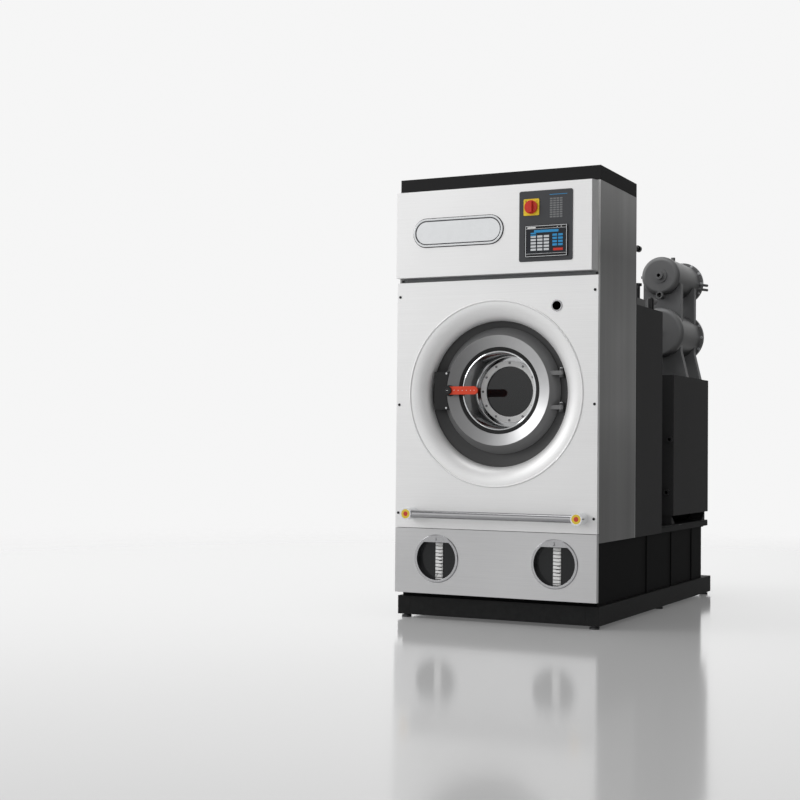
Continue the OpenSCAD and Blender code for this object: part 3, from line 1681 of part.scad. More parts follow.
// Outline of a stand plate and, inset, of the room between its folded edges
module stand_outline(inset) {
  foot_x = vessel_side - inset;
  top_x = cond_r - 1 - inset;
  splay_z = still_z - still_r * 0.73;
  top = cond_z - cond_r * 0.384;
  polygon([[vessel_x - foot_x, box_top_z], [vessel_x + foot_x, box_top_z], [vessel_x + top_x, splay_z],
           [vessel_x + top_x, top], [vessel_x - top_x, top], [vessel_x - top_x, splay_z]]);
}

module vessel_stand() {
  color([0.55, 0.55, 0.56])
    difference() {
      for (y = plate_y)
        difference() {
          slab_y(y, y + stand_edge)
            stand_outline(0);
          slab_y(y + stand_t, y + stand_edge + over)
            stand_outline(stand_t);
        }
      rod_y(vessel_x, still_z, vessel_front_y, plinth_back_y, still_body_r + seat_gap);
      rod_y(vessel_x, cond_z, vessel_front_y, plinth_back_y, cond_body_r + seat_gap);
    }
}

head_steps = 7;
// A vessel whose flat front has a round edge, narrower behind its rim, moved inwards by a wall t
function vessel_outline(y, r, body_r, l, t) = concat([[0, y + t]],
  [for (i = [0:head_steps])
    [r - head_d + (head_d - t) * sin(90 * i / head_steps),
     y + t + (head_d - t) * (1 - cos(90 * i / head_steps))]],
  [[r - t, y + 1.6 * head_d - t], [body_r - t, y + 1.6 * head_d - t],
   [body_r - t, y + l - 1.5 * t], [0, y + l - 1.5 * t]]);

module vessel(y, z, r, body_r, l, flange_r) {
  turned_y(vessel_x, z, vessel_outline(y, r, body_r, l, 0));
  rod_y(vessel_x, z, y + l - flange_t, y + l, flange_r);
}

module still_shell() {
  drain_y = vessel_front_y + head_d + 12;
  drain_z = still_z - still_r - 30;
  color(dark_steel)
    difference() {
      union() {
        vessel(vessel_front_y, still_z, still_r, still_body_r, still_l, still_r + 2);
        rod_y(vessel_x, still_z, vessel_front_y - 14, vessel_front_y + head_d, 16);
        rod_z(vessel_x, drain_y, drain_z, still_z - still_r + 12, 15);
        rod_y(vessel_x, drain_z, drain_y - 26, drain_y + 12, 11);
        rod_z(vessel_x, vapour_y, still_z, cond_z, vapour_r);
      }
      turned_y(vessel_x, still_z, vessel_outline(vessel_front_y, still_r, still_body_r, still_l, vessel_t));
      rod_y(vessel_x, cond_z, vessel_front_y, plinth_back_y, cond_body_r + seat_gap);
      rod_y(vessel_x, still_z, vessel_front_y - 14 - over, vessel_front_y + head_d, 8);
      rod_z(vessel_x, vapour_y, still_z, cond_z, vapour_r - vessel_t);
    }
}

module condenser_shell() {
  front = vessel_front_y + cond_back;
  port_z = cond_z - cond_r;
  pipe_x = cond_r * 0.8;
  pipe_out = half_w - 8 - vessel_x - pipe_x;
  pipe_y = front + cond_l - 65;
  color(dark_steel)
    difference() {
      union() {
        vessel(front, cond_z, cond_r, cond_body_r, cond_l, cond_r + vessel_flange);
        rod_y(vessel_x, cond_z, front - 5, front + head_d, 37);
        rod_y(vessel_x, cond_z, front - 22, front + head_d, 20);
        rod_y(vessel_x, port_z, front - 8, plate_y[0] - 6, port_pipe_r);
        rod_z(vessel_x, front + 240, cond_z, cond_z + cond_r + 21, 11);
        for (z = [cond_z - 8, cond_z - 32])
          translate([vessel_x + pipe_x, pipe_y, z])
            rotate([0, 0, atan2(100, pipe_out)])
              rod_x(0, 0, 0, sqrt(10000 + pipe_out * pipe_out), 7);
        rod_x(front + head_d + 20, cond_z, vessel_x - cond_r - 10, vessel_x, 7);
      }
      turned_y(vessel_x, cond_z, vessel_outline(front, cond_r, cond_body_r, cond_l, vessel_t));
      rod_y(vessel_x, cond_z, front - 22 - over, front + head_d, 9);
      rod_y(vessel_x, port_z, front - 8 - over, front + 20, port_pipe_r - 6);
      rod_z(vessel_x, vapour_y, cond_z - cond_r - over, cond_z, vapour_r - vessel_t);
    }
}

centred() plinth();
centred() levelling_feet();
centred() solvent_tanks();
centred() deck_plate();
centred() cabinet_frame();
centred() side_panels();
centred() cabinet_back_panel();
centred() lid();
centred() upper_panel();
centred() main_panel();
centred() lower_panel();
centred() panel_screws();
centred() nameplate();
centred() control_plate();
centred() switch_plate();
centred() main_switch_knob();
centred() touch_screen();
centred() port_ring();
centred() gauge_bezels();
centred() gauge_windows();
centred() gauge_scales();
centred() rail_posts();
centred() grab_rail();
centred() door_pan();
centred() door_bowl();
centred() window_flange();
centred() window_bolts();
centred() door_glass();
centred() door_seal();
centred() hinge_brackets();
centred() hinge_pins();
centred() latch_housing();
centred() latch_lever();
centred() latch_spindle();
centred() tub_shell();
centred() tub_front();
centred() drum_shell();
centred() drum_end_plates();
centred() drum_lifters();
centred() drum_shaft();
centred() bearing_housing();
centred() drum_bearings();
centred() drum_pulley();
centred() drive_belt();
centred() motor_pulley();
centred() drive_motor();
centred() fan_housing();
centred() fan_impeller();
centred() fan_motor();
centred() air_duct();
centred() air_coil();
centred() rear_cover();
centred() control_cabinet();
centred() cabinet_door();
centred() vessel_stand();
centred() still_shell();
centred() condenser_shell();
centred() valve_manifold();
centred() solvent_pump();
centred() button_trap();
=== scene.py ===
import json
import math

import bmesh
import bpy
from mathutils import Matrix, Vector

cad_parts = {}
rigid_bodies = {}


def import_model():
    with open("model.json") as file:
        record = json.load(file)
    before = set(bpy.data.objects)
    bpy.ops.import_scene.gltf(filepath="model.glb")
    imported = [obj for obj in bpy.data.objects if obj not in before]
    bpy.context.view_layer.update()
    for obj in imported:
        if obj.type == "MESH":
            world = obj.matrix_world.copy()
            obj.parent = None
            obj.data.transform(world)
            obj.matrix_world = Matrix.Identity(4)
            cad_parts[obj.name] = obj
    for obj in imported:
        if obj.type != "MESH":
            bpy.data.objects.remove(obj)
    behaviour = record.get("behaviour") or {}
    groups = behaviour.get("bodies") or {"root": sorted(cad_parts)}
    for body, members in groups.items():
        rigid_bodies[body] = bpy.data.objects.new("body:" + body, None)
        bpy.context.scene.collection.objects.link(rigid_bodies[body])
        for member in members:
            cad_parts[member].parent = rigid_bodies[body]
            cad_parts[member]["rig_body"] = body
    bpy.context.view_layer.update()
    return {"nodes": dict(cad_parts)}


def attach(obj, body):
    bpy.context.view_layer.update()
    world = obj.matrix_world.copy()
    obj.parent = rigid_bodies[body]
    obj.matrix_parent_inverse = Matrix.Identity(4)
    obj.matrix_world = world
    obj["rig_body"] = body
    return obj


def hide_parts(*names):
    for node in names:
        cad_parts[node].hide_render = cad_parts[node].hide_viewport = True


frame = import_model()
nodes = frame["nodes"]

# ---- Camera ----
# It stands at waist height off the machine's front right corner, as the photograph was taken, and
# sees the whole machine through a long lens. Its place comes from the machine's straight edges.
eye = Vector((2.5018, -6.7804, 0.7688))
turn_left, tilt_up, lean = (math.radians(angle) for angle in (26.658, 1.803, 0.591))
ahead = Vector((-math.sin(turn_left) * math.cos(tilt_up), math.cos(turn_left) * math.cos(tilt_up),
                math.sin(tilt_up)))
level_right = Vector((math.cos(turn_left), math.sin(turn_left), 0))
level_up = level_right.cross(ahead)
right = level_right * math.cos(lean) + level_up * math.sin(lean)
up = level_up * math.cos(lean) - level_right * math.sin(lean)
lens = bpy.data.cameras.new("camera")
lens.lens = 65.93
lens.sensor_width = 36
lens.clip_end = 200
camera = bpy.data.objects.new("camera", lens)
camera.matrix_world = Matrix((
    (right.x, up.x, -ahead.x, eye.x),
    (right.y, up.y, -ahead.y, eye.y),
    (right.z, up.z, -ahead.z, eye.z),
    (0, 0, 0, 1)))
bpy.context.scene.collection.objects.link(camera)
bpy.context.scene.camera = camera

# ---- Plinth and levelling feet ----
# The plinth is welded from folded steel channels and powder coated dark grey. Six blackened steel
# feet on threaded studs carry it.


def fed(tree, node, inputs):
    """Joins a node's inputs to the sockets given, or fills in the values."""
    for label, value in inputs.items():
        if isinstance(value, bpy.types.NodeSocket):
            tree.links.new(value, node.inputs[label])
        else:
            node.inputs[label].default_value = value


def add(tree, kind, inputs=None, **settings):
    """A new node with its settings made and its inputs joined or filled in."""
    node = tree.nodes.new(kind)
    for setting, value in settings.items():
        setattr(node, setting, value)
    fed(tree, node, inputs or {})
    return node


def maths(tree, operation, first, second=0.5):
    """What one sum or comparison gives."""
    return add(tree, "ShaderNodeMath", {0: first, 1: second}, operation=operation).outputs["Value"]


def stretched(tree, value, low, high, to_low=0.0, to_high=1.0, smooth=False):
    """A value's place between two limits, stretched between two others."""
    return add(tree, "ShaderNodeMapRange", {"Value": value, "From Min": low, "From Max": high,
                                            "To Min": to_low, "To Max": to_high},
               interpolation_type="SMOOTHSTEP" if smooth else "LINEAR").outputs["Result"]


def mixed(tree, factor, under, over, manner="MIX"):
    """Two colours mixed, or one multiplied by the other."""
    return add(tree, "ShaderNodeMix", {"Factor": factor, "A": under, "B": over}, data_type="RGBA",
               blend_type=manner).outputs["Result"]


def shared_effect(name, inputs, outputs):
    """An empty node group with named inputs and outputs."""
    tree = bpy.data.node_groups.new(name, "ShaderNodeTree")
    for label, kind, value in inputs:
        tree.interface.new_socket(label, in_out="INPUT", socket_type=kind).default_value = value
    for label in outputs:
        tree.interface.new_socket(label, in_out="OUTPUT", socket_type="NodeSocketFloat")
    return tree, tree.nodes.new("NodeGroupInput").outputs, tree.nodes.new("NodeGroupOutput").inputs


# Fine orange peel of a sprayed or powder-coated skin, and the faint cloudiness of its colour
peel, given, made = shared_effect(
    "coated skin", [("Position", "NodeSocketVector", (0, 0, 0)), ("Fineness", "NodeSocketFloat", 600)],
    ["Peel", "Cloud"])
peel_noise = add(peel, "ShaderNodeTexNoise", {"Vector": given["Position"], "Scale": given["Fineness"],
                                              "Detail": 2.0, "Roughness": 0.5})
cloud_noise = add(peel, "ShaderNodeTexNoise", {"Vector": given["Position"], "Scale": 3.1,
                                               "Detail": 4.0, "Roughness": 0.55})
peel.links.new(peel_noise.outputs["Fac"], made["Peel"])
peel.links.new(cloud_noise.outputs["Fac"], made["Cloud"])

# Dust that settles on what faces up and creeps up from the floor
dust, given, made = shared_effect(
    "settled dust", [("Position", "NodeSocketVector", (0, 0, 0)), ("Facing", "NodeSocketVector", (0, 0, 1)),
                     ("Reach", "NodeSocketFloat", 0.25), ("Amount", "NodeSocketFloat", 0.3)], ["Dust"])
facing = add(dust, "ShaderNodeSeparateXYZ", {"Vector": given["Facing"]})
height = add(dust, "ShaderNodeSeparateXYZ", {"Vector": given["Position"]})
upward = stretched(dust, facing.outputs["Z"], 0.5, 1.0)
low = stretched(dust, height.outputs["Z"], given["Reach"], 0.0, 0.0, 0.5, smooth=True)
either = maths(dust, "MAXIMUM", upward, low)
specks = add(dust, "ShaderNodeTexNoise", {"Vector": given["Position"], "Scale": 38.0, "Detail": 6.0,
                                          "Roughness": 0.7})
patchy = stretched(dust, specks.outputs["Fac"], 0.38, 0.72)
lying = maths(dust, "MULTIPLY", either, patchy)
amount = maths(dust, "MULTIPLY", lying, given["Amount"])
dust.links.new(amount, made["Dust"])


def finish_base(name, rough, metallic=0.0):
    """A new material with its shader's fixed values, and where its patterns are read from."""
    material = bpy.data.materials.new(name)
    material.use_nodes = True
    tree = material.node_tree
    shader = tree.nodes["Principled BSDF"]
    fed(tree, shader, {"Roughness": rough, "Metallic": metallic})
    return material, tree, shader, tree.nodes.new("ShaderNodeTexCoord").outputs


def shade(colour, share):
    """A colour made darker or lighter, with its alpha."""
    return tuple(min(1.0, c * share) for c in colour) + (1.0,)


def coated(name, colour, rough, fineness=600, depth=0.00012, grime=0.25, gloss=0.5):
    """Powder coat or paint: orange peel, a little cloudiness, and dust on what faces up."""
    material, tree, shader, place = finish_base(name, rough)
    skin = add(tree, "ShaderNodeGroup", {"Position": place["Object"], "Fineness": fineness}, node_tree=peel)
    settled = add(tree, "ShaderNodeGroup", {"Position": place["Object"], "Facing": place["Normal"],
                                            "Amount": grime}, node_tree=dust)
    cloudy = mixed(tree, skin.outputs["Cloud"], shade(colour, 0.86), shade(colour, 1.14))
    dusty = mixed(tree, settled.outputs["Dust"], cloudy, (0.42, 0.41, 0.39, 1))
    dull = stretched(tree, settled.outputs["Dust"], 0.0, 1.0, rough, 0.85)
    ripple = add(tree, "ShaderNodeBump", {"Height": skin.outputs["Peel"], "Strength": 0.6,
                                          "Distance": depth})
    fed(tree, shader, {"Base Color": dusty, "Roughness": dull, "Specular IOR Level": gloss,
                       "Normal": ripple.outputs["Normal"]})
    return material


def eased(node, radius, finish, crease=30, turns=2):
    """A copy of a CAD piece with its triangles joined and its edges rounded, which stands for it."""
    joined = bmesh.new()
    joined.from_mesh(nodes[node].data)
    bmesh.ops.remove_doubles(joined, verts=joined.verts, dist=2e-5)
    bmesh.ops.dissolve_limit(joined, angle_limit=math.radians(0.4), verts=joined.verts, edges=joined.edges)
    joined.verts.index_update()
    plain = bpy.data.meshes.new(node)
    plain.from_pydata([v.co[:] for v in joined.verts], [],
                      [[v.index for v in face.verts] for face in joined.faces])
    joined.free()
    plain.shade_smooth()
    shape = bpy.data.objects.new(node + "_shape", plain)
    bpy.context.scene.collection.objects.link(shape)
    rounding = shape.modifiers.new("rounding", "BEVEL")
    rounding.width = radius
    rounding.segments = turns
    rounding.limit_method = "ANGLE"
    rounding.angle_limit = math.radians(crease)
    rounding.miter_outer = "MITER_ARC"
    shape.modifiers.new("flat faces stay flat", "WEIGHTED_NORMAL").keep_sharp = True
    bpy.context.view_layer.update()
    worked = bpy.context.evaluated_depsgraph_get()
    mesh = bpy.data.meshes.new_from_object(shape.evaluated_get(worked), preserve_all_data_layers=True,
                                           depsgraph=worked)
    bpy.data.objects.remove(shape)
    mesh.materials.clear()
    mesh.materials.append(finish)
    piece = bpy.data.objects.new(node + "_made", mesh)
    bpy.context.scene.collection.objects.link(piece)
    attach(piece, nodes[node]["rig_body"])
    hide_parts(node)
    return piece


def dressed(node, finish):
    """A CAD piece that keeps its shape and takes a finish."""
    for holder in nodes[node].material_slots:
        holder.material = finish


def set_up(name, mesh, finish, body):
    """A new piece from a mesh, with its finish, riding on its body."""
    mesh.materials.clear()
    mesh.materials.append(finish)
    piece = bpy.data.objects.new(name, mesh)
    bpy.context.scene.collection.objects.link(piece)
    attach(piece, body)
    return piece


def grown(name, tree, given, finish, body):
    """The plain mesh that a Geometry Nodes tree makes from the values given."""
    seed = bpy.data.objects.new(name + "_seed", bpy.data.meshes.new(name + "_seed"))
    bpy.context.scene.collection.objects.link(seed)
    growth = seed.modifiers.new("growth", "NODES")
    growth.node_group = tree
    for socket in tree.interface.items_tree:
        if socket.in_out == "INPUT":
            growth[socket.identifier] = finish if socket.name == "Finish" else given[socket.name]
    bpy.context.view_layer.update()
    worked = bpy.context.evaluated_depsgraph_get()
    mesh = bpy.data.meshes.new_from_object(seed.evaluated_get(worked), preserve_all_data_layers=True,
                                           depsgraph=worked)
    seed.modifiers.remove(growth)
    bpy.data.objects.remove(seed)
    return set_up(name, mesh, finish, body)


def growing(name, inputs):
    """An empty Geometry Nodes tree with named inputs and one geometry output."""
    tree = bpy.data.node_groups.new(name, "GeometryNodeTree")
    for label, kind in inputs + [("Finish", "Material")]:
        tree.interface.new_socket(label, in_out="INPUT", socket_type="NodeSocket" + kind)
    tree.interface.new_socket("Geometry", in_out="OUTPUT", socket_type="NodeSocketGeometry")
    return tree, tree.nodes.new("NodeGroupInput").outputs, tree.nodes.new("NodeGroupOutput").inputs


def harvested(tree, given, made, instances, turn=(0, 0, 0)):
    """Ends a tree: instances made real, turned, moved to their place, shaded flat and finished."""
    real = add(tree, "GeometryNodeRealizeInstances", {"Geometry": instances})
    placed = add(tree, "GeometryNodeTransform", {"Geometry": real.outputs["Geometry"], "Rotation": turn,
                                                 "Translation": given["Place"]})
    shaded = add(tree, "GeometryNodeSetShadeSmooth", {"Geometry": placed.outputs["Geometry"],
                                                      "Shade Smooth": False})
    done = add(tree, "GeometryNodeSetMaterial", {"Geometry": shaded.outputs["Geometry"],
                                                 "Material": given["Finish"]})
    tree.links.new(done.outputs["Geometry"], made["Geometry"])


plinth_coat = coated("plinth coat", (0.011, 0.0113, 0.0116), 0.6, grime=0.03, gloss=0.15)
plate_edge = 0.0015
eased("plinth", plate_edge, plinth_coat)


def metal(name, colour, rough, spread=0.06, fineness=40):
    """Bare or plated metal whose shine varies with handling."""
    material, tree, shader, place = finish_base(name, rough, 1.0)
    smudge = add(tree, "ShaderNodeTexNoise", {"Vector": place["Object"], "Scale": fineness, "Detail": 5.0,
                                              "Roughness": 0.65})
    smoothest = max(0.02, rough - spread / 2)
    shine = stretched(tree, smudge.outputs["Fac"], 0.3, 0.7, smoothest, rough + spread)
    tint = mixed(tree, smudge.outputs["Fac"], shade(colour, 0.92), shade(colour, 1.06))
    ripple = add(tree, "ShaderNodeBump", {"Height": smudge.outputs["Fac"], "Strength": 0.25,
                                          "Distance": 0.00008})
    fed(tree, shader, {"Base Color": tint, "Roughness": shine, "Normal": ripple.outputs["Normal"]})
    return material


foot_steel = metal("blackened feet", (0.07, 0.07, 0.072), 0.42, 0.1, 60)
fine_edge = 0.0008
eased("levelling_feet", fine_edge, foot_steel)

# ---- Solvent tanks and deck ----
# The tanks are welded from steel sheet with upright ribs against bulging, painted semi-gloss black.
# The deck over them is a folded plate in the plinth's grey.
tank_coat = coated("tank paint", (0.005, 0.005, 0.0054), 0.7, 420, grime=0.0, gloss=0.1)
eased("solvent_tanks", 0.001, tank_coat)
eased("deck_plate", 0.002, plinth_coat)

# ---- Cabinet: frame, side panels, back panel and lid ----
# Square steel tubes carry the cabinet. Its sides are stainless sheet with an upright brushed grain,
# folded round at the edges; the lid is a folded pan with a charcoal powder coat.

# Streaks that a belt sander leaves along one direction, and a slow unevenness over the sheet
brushing, given, made = shared_effect(
    "brushed grain",
    [("Position", "NodeSocketVector", (0, 0, 0)), ("Lay", "NodeSocketVector", (4, 500, 500))],
    ["Streaks", "Cloud"])
along = add(brushing, "ShaderNodeVectorMath", {0: given["Position"], 1: given["Lay"]}, operation="MULTIPLY")
fine = add(brushing, "ShaderNodeTexNoise", {"Vector": along.outputs["Vector"], "Scale": 1.0, "Detail": 3.0,
                                            "Roughness": 0.7})
slow = add(brushing, "ShaderNodeTexNoise", {"Vector": given["Position"], "Scale": 1.7, "Detail": 2.0})
brushing.links.new(fine.outputs["Fac"], made["Streaks"])
brushing.links.new(slow.outputs["Fac"], made["Cloud"])

LEVEL, UPRIGHT = (3.0, 420.0, 420.0), (420.0, 420.0, 3.0)


def brushed(name, colour, rough, lay, contrast=0.10, metallic=1.0):
    """Brushed stainless sheet: streaks along the lay in colour, shine and height."""
    scratch_depth = 0.00005
    material, tree, shader, place = finish_base(name, rough, metallic)
    grain = add(tree, "ShaderNodeGroup", {"Position": place["Object"], "Lay": lay}, node_tree=brushing)
    both = maths(tree, "ADD", grain.outputs["Streaks"], grain.outputs["Cloud"])
    tone = stretched(tree, both, 0.6, 1.4)
    colours = mixed(tree, tone, shade(colour, 1 - contrast), shade(colour, 1 + contrast))
    shine = stretched(tree, grain.outputs["Streaks"], 0.3, 0.7, rough - 0.05, rough + 0.07)
    ripple = add(tree, "ShaderNodeBump", {"Height": grain.outputs["Streaks"], "Strength": 0.5,
                                          "Distance": scratch_depth})
    fed(tree, shader, {"Base Color": colours, "Roughness": shine, "Normal": ripple.outputs["Normal"]})
    return material


def so_far(material):
    """A material's tree and shader, its own coordinates, and the colour that it has so far."""
    tree = material.node_tree
    shader = tree.nodes["Principled BSDF"]
    colour = shader.inputs["Base Color"].links[0].from_socket
    return tree, shader, tree.nodes["Texture Coordinate"].outputs, colour


def graded(tree, value, steps):
    """Greys along a value: each step is a place from 0 to 1 and how light it is there."""
    ramp = add(tree, "ShaderNodeValToRGB", {"Fac": value})
    for share, light in steps:
        ramp.color_ramp.elements.new(share).color = (light, light, light, 1)
    for spare in (0, -1):
        ramp.color_ramp.elements.remove(ramp.color_ramp.elements[spare])
    return ramp.outputs["Color"]


def side_sheet(name, colour):
    """Brushed sheet with a painted reflection lighter at hip height, in bands; a painted rear edge highlight;
    black vent stub.
    """
    sheet_foot, sheet_top, sheet_back, stub_start = 0.36, 1.92, -0.3615, -0.350
    material = brushed(name, colour, 0.40, UPRIGHT, contrast=0.22)
    tree, shader, place, grain = so_far(material)
    where = place["Object"]
    apart = add(tree, "ShaderNodeSeparateXYZ", {"Vector": where})
    tall = stretched(tree, apart.outputs["Z"], sheet_foot, sheet_top)
    # Painted reflection: the sheet is coloured darker at its foot and top and lighter at hip height
    painted_reflection = graded(tree, tall, ((0.0, 0.42), (0.18, 0.62), (0.38, 1.0), (0.55, 0.86), (0.80, 0.55),
                               (1.0, 0.48)))
    across = add(tree, "ShaderNodeVectorMath", {0: where, 1: (9.0, 9.0, 0.35)}, operation="MULTIPLY")
    bands = add(tree, "ShaderNodeTexNoise", {"Vector": across.outputs["Vector"], "Scale": 1.0, "Detail": 3.0})
    banded = stretched(tree, bands.outputs["Fac"], 0.35, 0.65, 0.90, 1.08)
    both = mixed(tree, 1.0, painted_reflection, banded, "MULTIPLY")
    toned = mixed(tree, 1.0, grain, both, "MULTIPLY")
    # Painted highlight: the rear cut edge is coloured bright
    edge = maths(tree, "GREATER_THAN", apart.outputs["Y"], sheet_back)
    with_painted_highlight = mixed(tree, edge, toned, (0.85, 0.85, 0.86, 1))
    stub = maths(tree, "GREATER_THAN", apart.outputs["Y"], stub_start)
    vented = mixed(tree, stub, with_painted_highlight, (0.012, 0.012, 0.012, 1))
    fed(tree, shader, {"Base Color": vented})
    return material


frame_coat = coated("frame primer", (0.16, 0.165, 0.17), 0.5)
side_steel = side_sheet("brushed side sheet", (0.42, 0.42, 0.418))
cabinet_coat = coated("charcoal coat", (0.014, 0.014, 0.0145), 0.6, 700, grime=0.08, gloss=0.15)
sheet_edge = 0.0009
eased("cabinet_frame", 0.003, frame_coat)
eased("side_panels", sheet_edge, side_steel)
eased("cabinet_back_panel", sheet_edge, side_steel)
eased("lid", sheet_edge, cabinet_coat)

# Pressed louvres that let the heat of the fan and the drive out at the back
louvres, given, made = growing("louvres", [("Rows", "Int"), ("Pitch", "Float"), ("Width", "Float"),
                                           ("Place", "Vector")])
step_up = add(louvres, "ShaderNodeCombineXYZ", {"Z": given["Pitch"]})
line = add(louvres, "GeometryNodeMeshLine", {"Count": given["Rows"], "Offset": step_up.outputs["Vector"]})
hood = add(louvres, "GeometryNodeMeshCylinder", {"Vertices": 20, "Radius": 0.006, "Depth": given["Width"]})
hood_laid = add(louvres, "GeometryNodeTransform", {"Geometry": hood.outputs["Mesh"],
                                                   "Rotation": (0, math.pi / 2, 0), "Scale": (1.6, 0.9, 1)})
rows = add(louvres, "GeometryNodeInstanceOnPoints", {"Points": line.outputs["Mesh"],
                                                     "Instance": hood_laid.outputs["Geometry"]})
harvested(louvres, given, made, rows.outputs["Instances"])
back_face, lowest_louvre = -0.358, 1.60
for louvres_name, louvres_x in (("back_louvres28", -0.22), ("back_louvres62", 0.12)):
    grown(louvres_name, louvres, {"Rows": 9, "Pitch": 0.024, "Width": 0.24,
                                  "Place": (louvres_x, back_face, lowest_louvre)},
          side_steel, "machine")

# ---- Upper panel and nameplate ----
# The upper panel is brushed stainless with its right edge folded back on a bevel. The nameplate is
# a plain chromed stadium with a raised rim, pinned on from behind.
panel_steel = brushed("brushed front sheet", (0.86, 0.86, 0.86), 0.46, LEVEL, 0.06, metallic=0.5)
eased("upper_panel", sheet_edge, panel_steel)
plate_chrome = metal("nameplate chrome", (0.62, 0.63, 0.64), 0.14, 0.05)
eased("nameplate", 0.0022, plate_chrome, turns=3)


def moulded(name, colour, rough, fineness=900, depth=0.00006):
    """Moulded plastic or rubber with a fine grain and a little unevenness."""
    material, tree, shader, place = finish_base(name, rough)
    grain = add(tree, "ShaderNodeTexNoise", {"Vector": place["Object"], "Scale": fineness, "Detail": 2.0})
    slow_tone = add(tree, "ShaderNodeTexNoise", {"Vector": place["Object"], "Scale": 14.0, "Detail": 3.0})
    colours = mixed(tree, slow_tone.outputs["Fac"], shade(colour, 0.9), shade(colour, 1.1))
    shine = stretched(tree, slow_tone.outputs["Fac"], 0.3, 0.7, rough - 0.04, rough + 0.06)
    ripple = add(tree, "ShaderNodeBump", {"Height": grain.outputs["Fac"], "Strength": 0.5, "Distance": depth})
    fed(tree, shader, {"Base Color": colours, "Roughness": shine, "Specular IOR Level": 0.3,
                       "Normal": ripple.outputs["Normal"]})
    return material


def rounded(x, z, width, height, radius, turns=5):
    """The outline of a rectangle with round corners, as (x, z) points."""
    points = []
    for corner, (sx, sz) in enumerate(((1, 1), (-1, 1), (-1, -1), (1, -1))):
        for i in range(turns + 1):
            angle = math.radians(90 * corner + 90 * i / turns)
            points.append((x + sx * (width / 2 - radius) + radius * math.cos(angle),
                           z + sz * (height / 2 - radius) + radius * math.sin(angle)))
    return points


def applied(name, outlines, front, back, finish, body):
    """Flat pieces with the outlines given, from their front to their back."""
    sheet = bmesh.new()
    for outline in outlines:
        low = [sheet.verts.new((x, back, z)) for x, z in outline]
        high = [sheet.verts.new((x, front, z)) for x, z in outline]
        sheet.faces.new(low)
        sheet.faces.new(high[::-1])
        for i in range(len(outline)):
            j = (i + 1) % len(outline)
            sheet.faces.new((low[i], high[i], high[j], low[j]))
    bmesh.ops.recalc_face_normals(sheet, faces=sheet.faces)
    mesh = bpy.data.meshes.new(name)
    sheet.to_mesh(mesh)
    sheet.free()
    return set_up(name, mesh, finish, body)


anodised = moulded("dark anodised plate", (0.055, 0.057, 0.062), 0.42)
black_plastic = moulded("black plastic", (0.007, 0.007, 0.0075), 0.46)
silver_field = metal("nameplate field", (0.66, 0.67, 0.68), 0.22, 0.05)

# A black ring of painted shadow shows in the gap round the nameplate, and a dark groove runs round its bare
# field
nameplate_x, nameplate_z = -0.172, 1.721
panel_face, plate_recess = -0.900, -0.903
for layer, layer_w, layer_h, layer_front, layer_back, layer_finish in (
        ("nameplate_gap_shadow", 0.438, 0.132, -0.9008, panel_face, black_plastic),
        ("nameplate_groove", 0.4138, 0.1078, -0.9033, plate_recess, anodised),
        ("nameplate_field", 0.4040, 0.0980, -0.9038, plate_recess, silver_field)):
    applied(layer, [rounded(nameplate_x, nameplate_z, layer_w, layer_h, layer_h / 2 - 0.0001, 12)],
            layer_front, layer_back, layer_finish, "machine")

# ---- Control plate, main switch and touch screen ----
# A dark anodised plate carries the yellow switch plate with its red isolator knob, and a touch
# screen in a metal frame.
yellow_plastic = moulded("yellow plastic", (0.86, 0.62, 0.03), 0.38)
red_plastic = moulded("red plastic", (0.62, 0.035, 0.02), 0.33)
eased("control_plate", sheet_edge, anodised)
eased("switch_plate", sheet_edge, yellow_plastic)
turned_edge = 0.0012
eased("main_switch_knob", turned_edge, red_plastic)
eased("touch_screen", fine_edge, black_plastic)


def turned(name, profile, x, z, finish, body, steps=40):
    """A piece turned about an axis along Y from a profile of (radius, y) points."""
    lathe = bmesh.new()
    rings = []
    for radius, y in profile:
        if radius == 0:
            rings.append([lathe.verts.new((x, y, z))] * steps)
        else:
            rings.append([lathe.verts.new((x + radius * math.cos(2 * math.pi * i / steps), y,
                                           z + radius * math.sin(2 * math.pi * i / steps)))
                          for i in range(steps)])
    for near, far in zip(rings, rings[1:]):
        for i in range(steps):
            j = (i + 1) % steps
            corners = list(dict.fromkeys((near[i], near[j], far[j], far[i])))
            lathe.faces.new(corners)
    bmesh.ops.recalc_face_normals(lathe, faces=lathe.faces)
    mesh = bpy.data.meshes.new(name)
    lathe.to_mesh(mesh)
    lathe.free()
    mesh.shade_smooth()
    mesh.set_sharp_from_angle(angle=math.radians(35))
    return set_up(name, mesh, finish, body)


def numeral(name, figure, x, y, z, size, finish, body):
    """A plain figure, cut from thin film, that faces the front."""
    curve = bpy.data.curves.new(name, "FONT")
    curve.body = figure
    curve.size = size
    curve.extrude = 0.0002
    curve.align_x = "CENTER"
    curve.align_y = "CENTER"
    written = bpy.data.objects.new(name + "_curve", curve)
    bpy.context.scene.collection.objects.link(written)
    bpy.context.view_layer.update()
    worked = bpy.context.evaluated_depsgraph_get()
    mesh = bpy.data.meshes.new_from_object(written.evaluated_get(worked), depsgraph=worked)
    bpy.data.objects.remove(written)
    mesh.transform(Matrix.Translation((x, y, z)) @ Matrix.Rotation(math.pi / 2, 4, "X"))
    return set_up(name, mesh, finish, body)


film_white = moulded("white film", (0.80, 0.80, 0.79), 0.45)
film_blue = moulded("blue film", (0.03, 0.30, 0.62), 0.4)
plate_face, switch_face = -0.903, -0.907
figure_z, film = 1.8305, 0.0003
for figure, figure_x in (("0", 0.1530), ("1", 0.2035)):
    numeral("switch_figure_" + figure, figure, figure_x, switch_face - 0.0002, figure_z, 0.012,
            black_plastic, "machine")
legend_x, legend_top, legend_middle = 0.290, 1.855, 1.798
applied("legend_line", [rounded(legend_x + 0.010, legend_top, 0.080, 0.0022, 0.001)],
        plate_face - film, plate_face, film_blue, "machine")

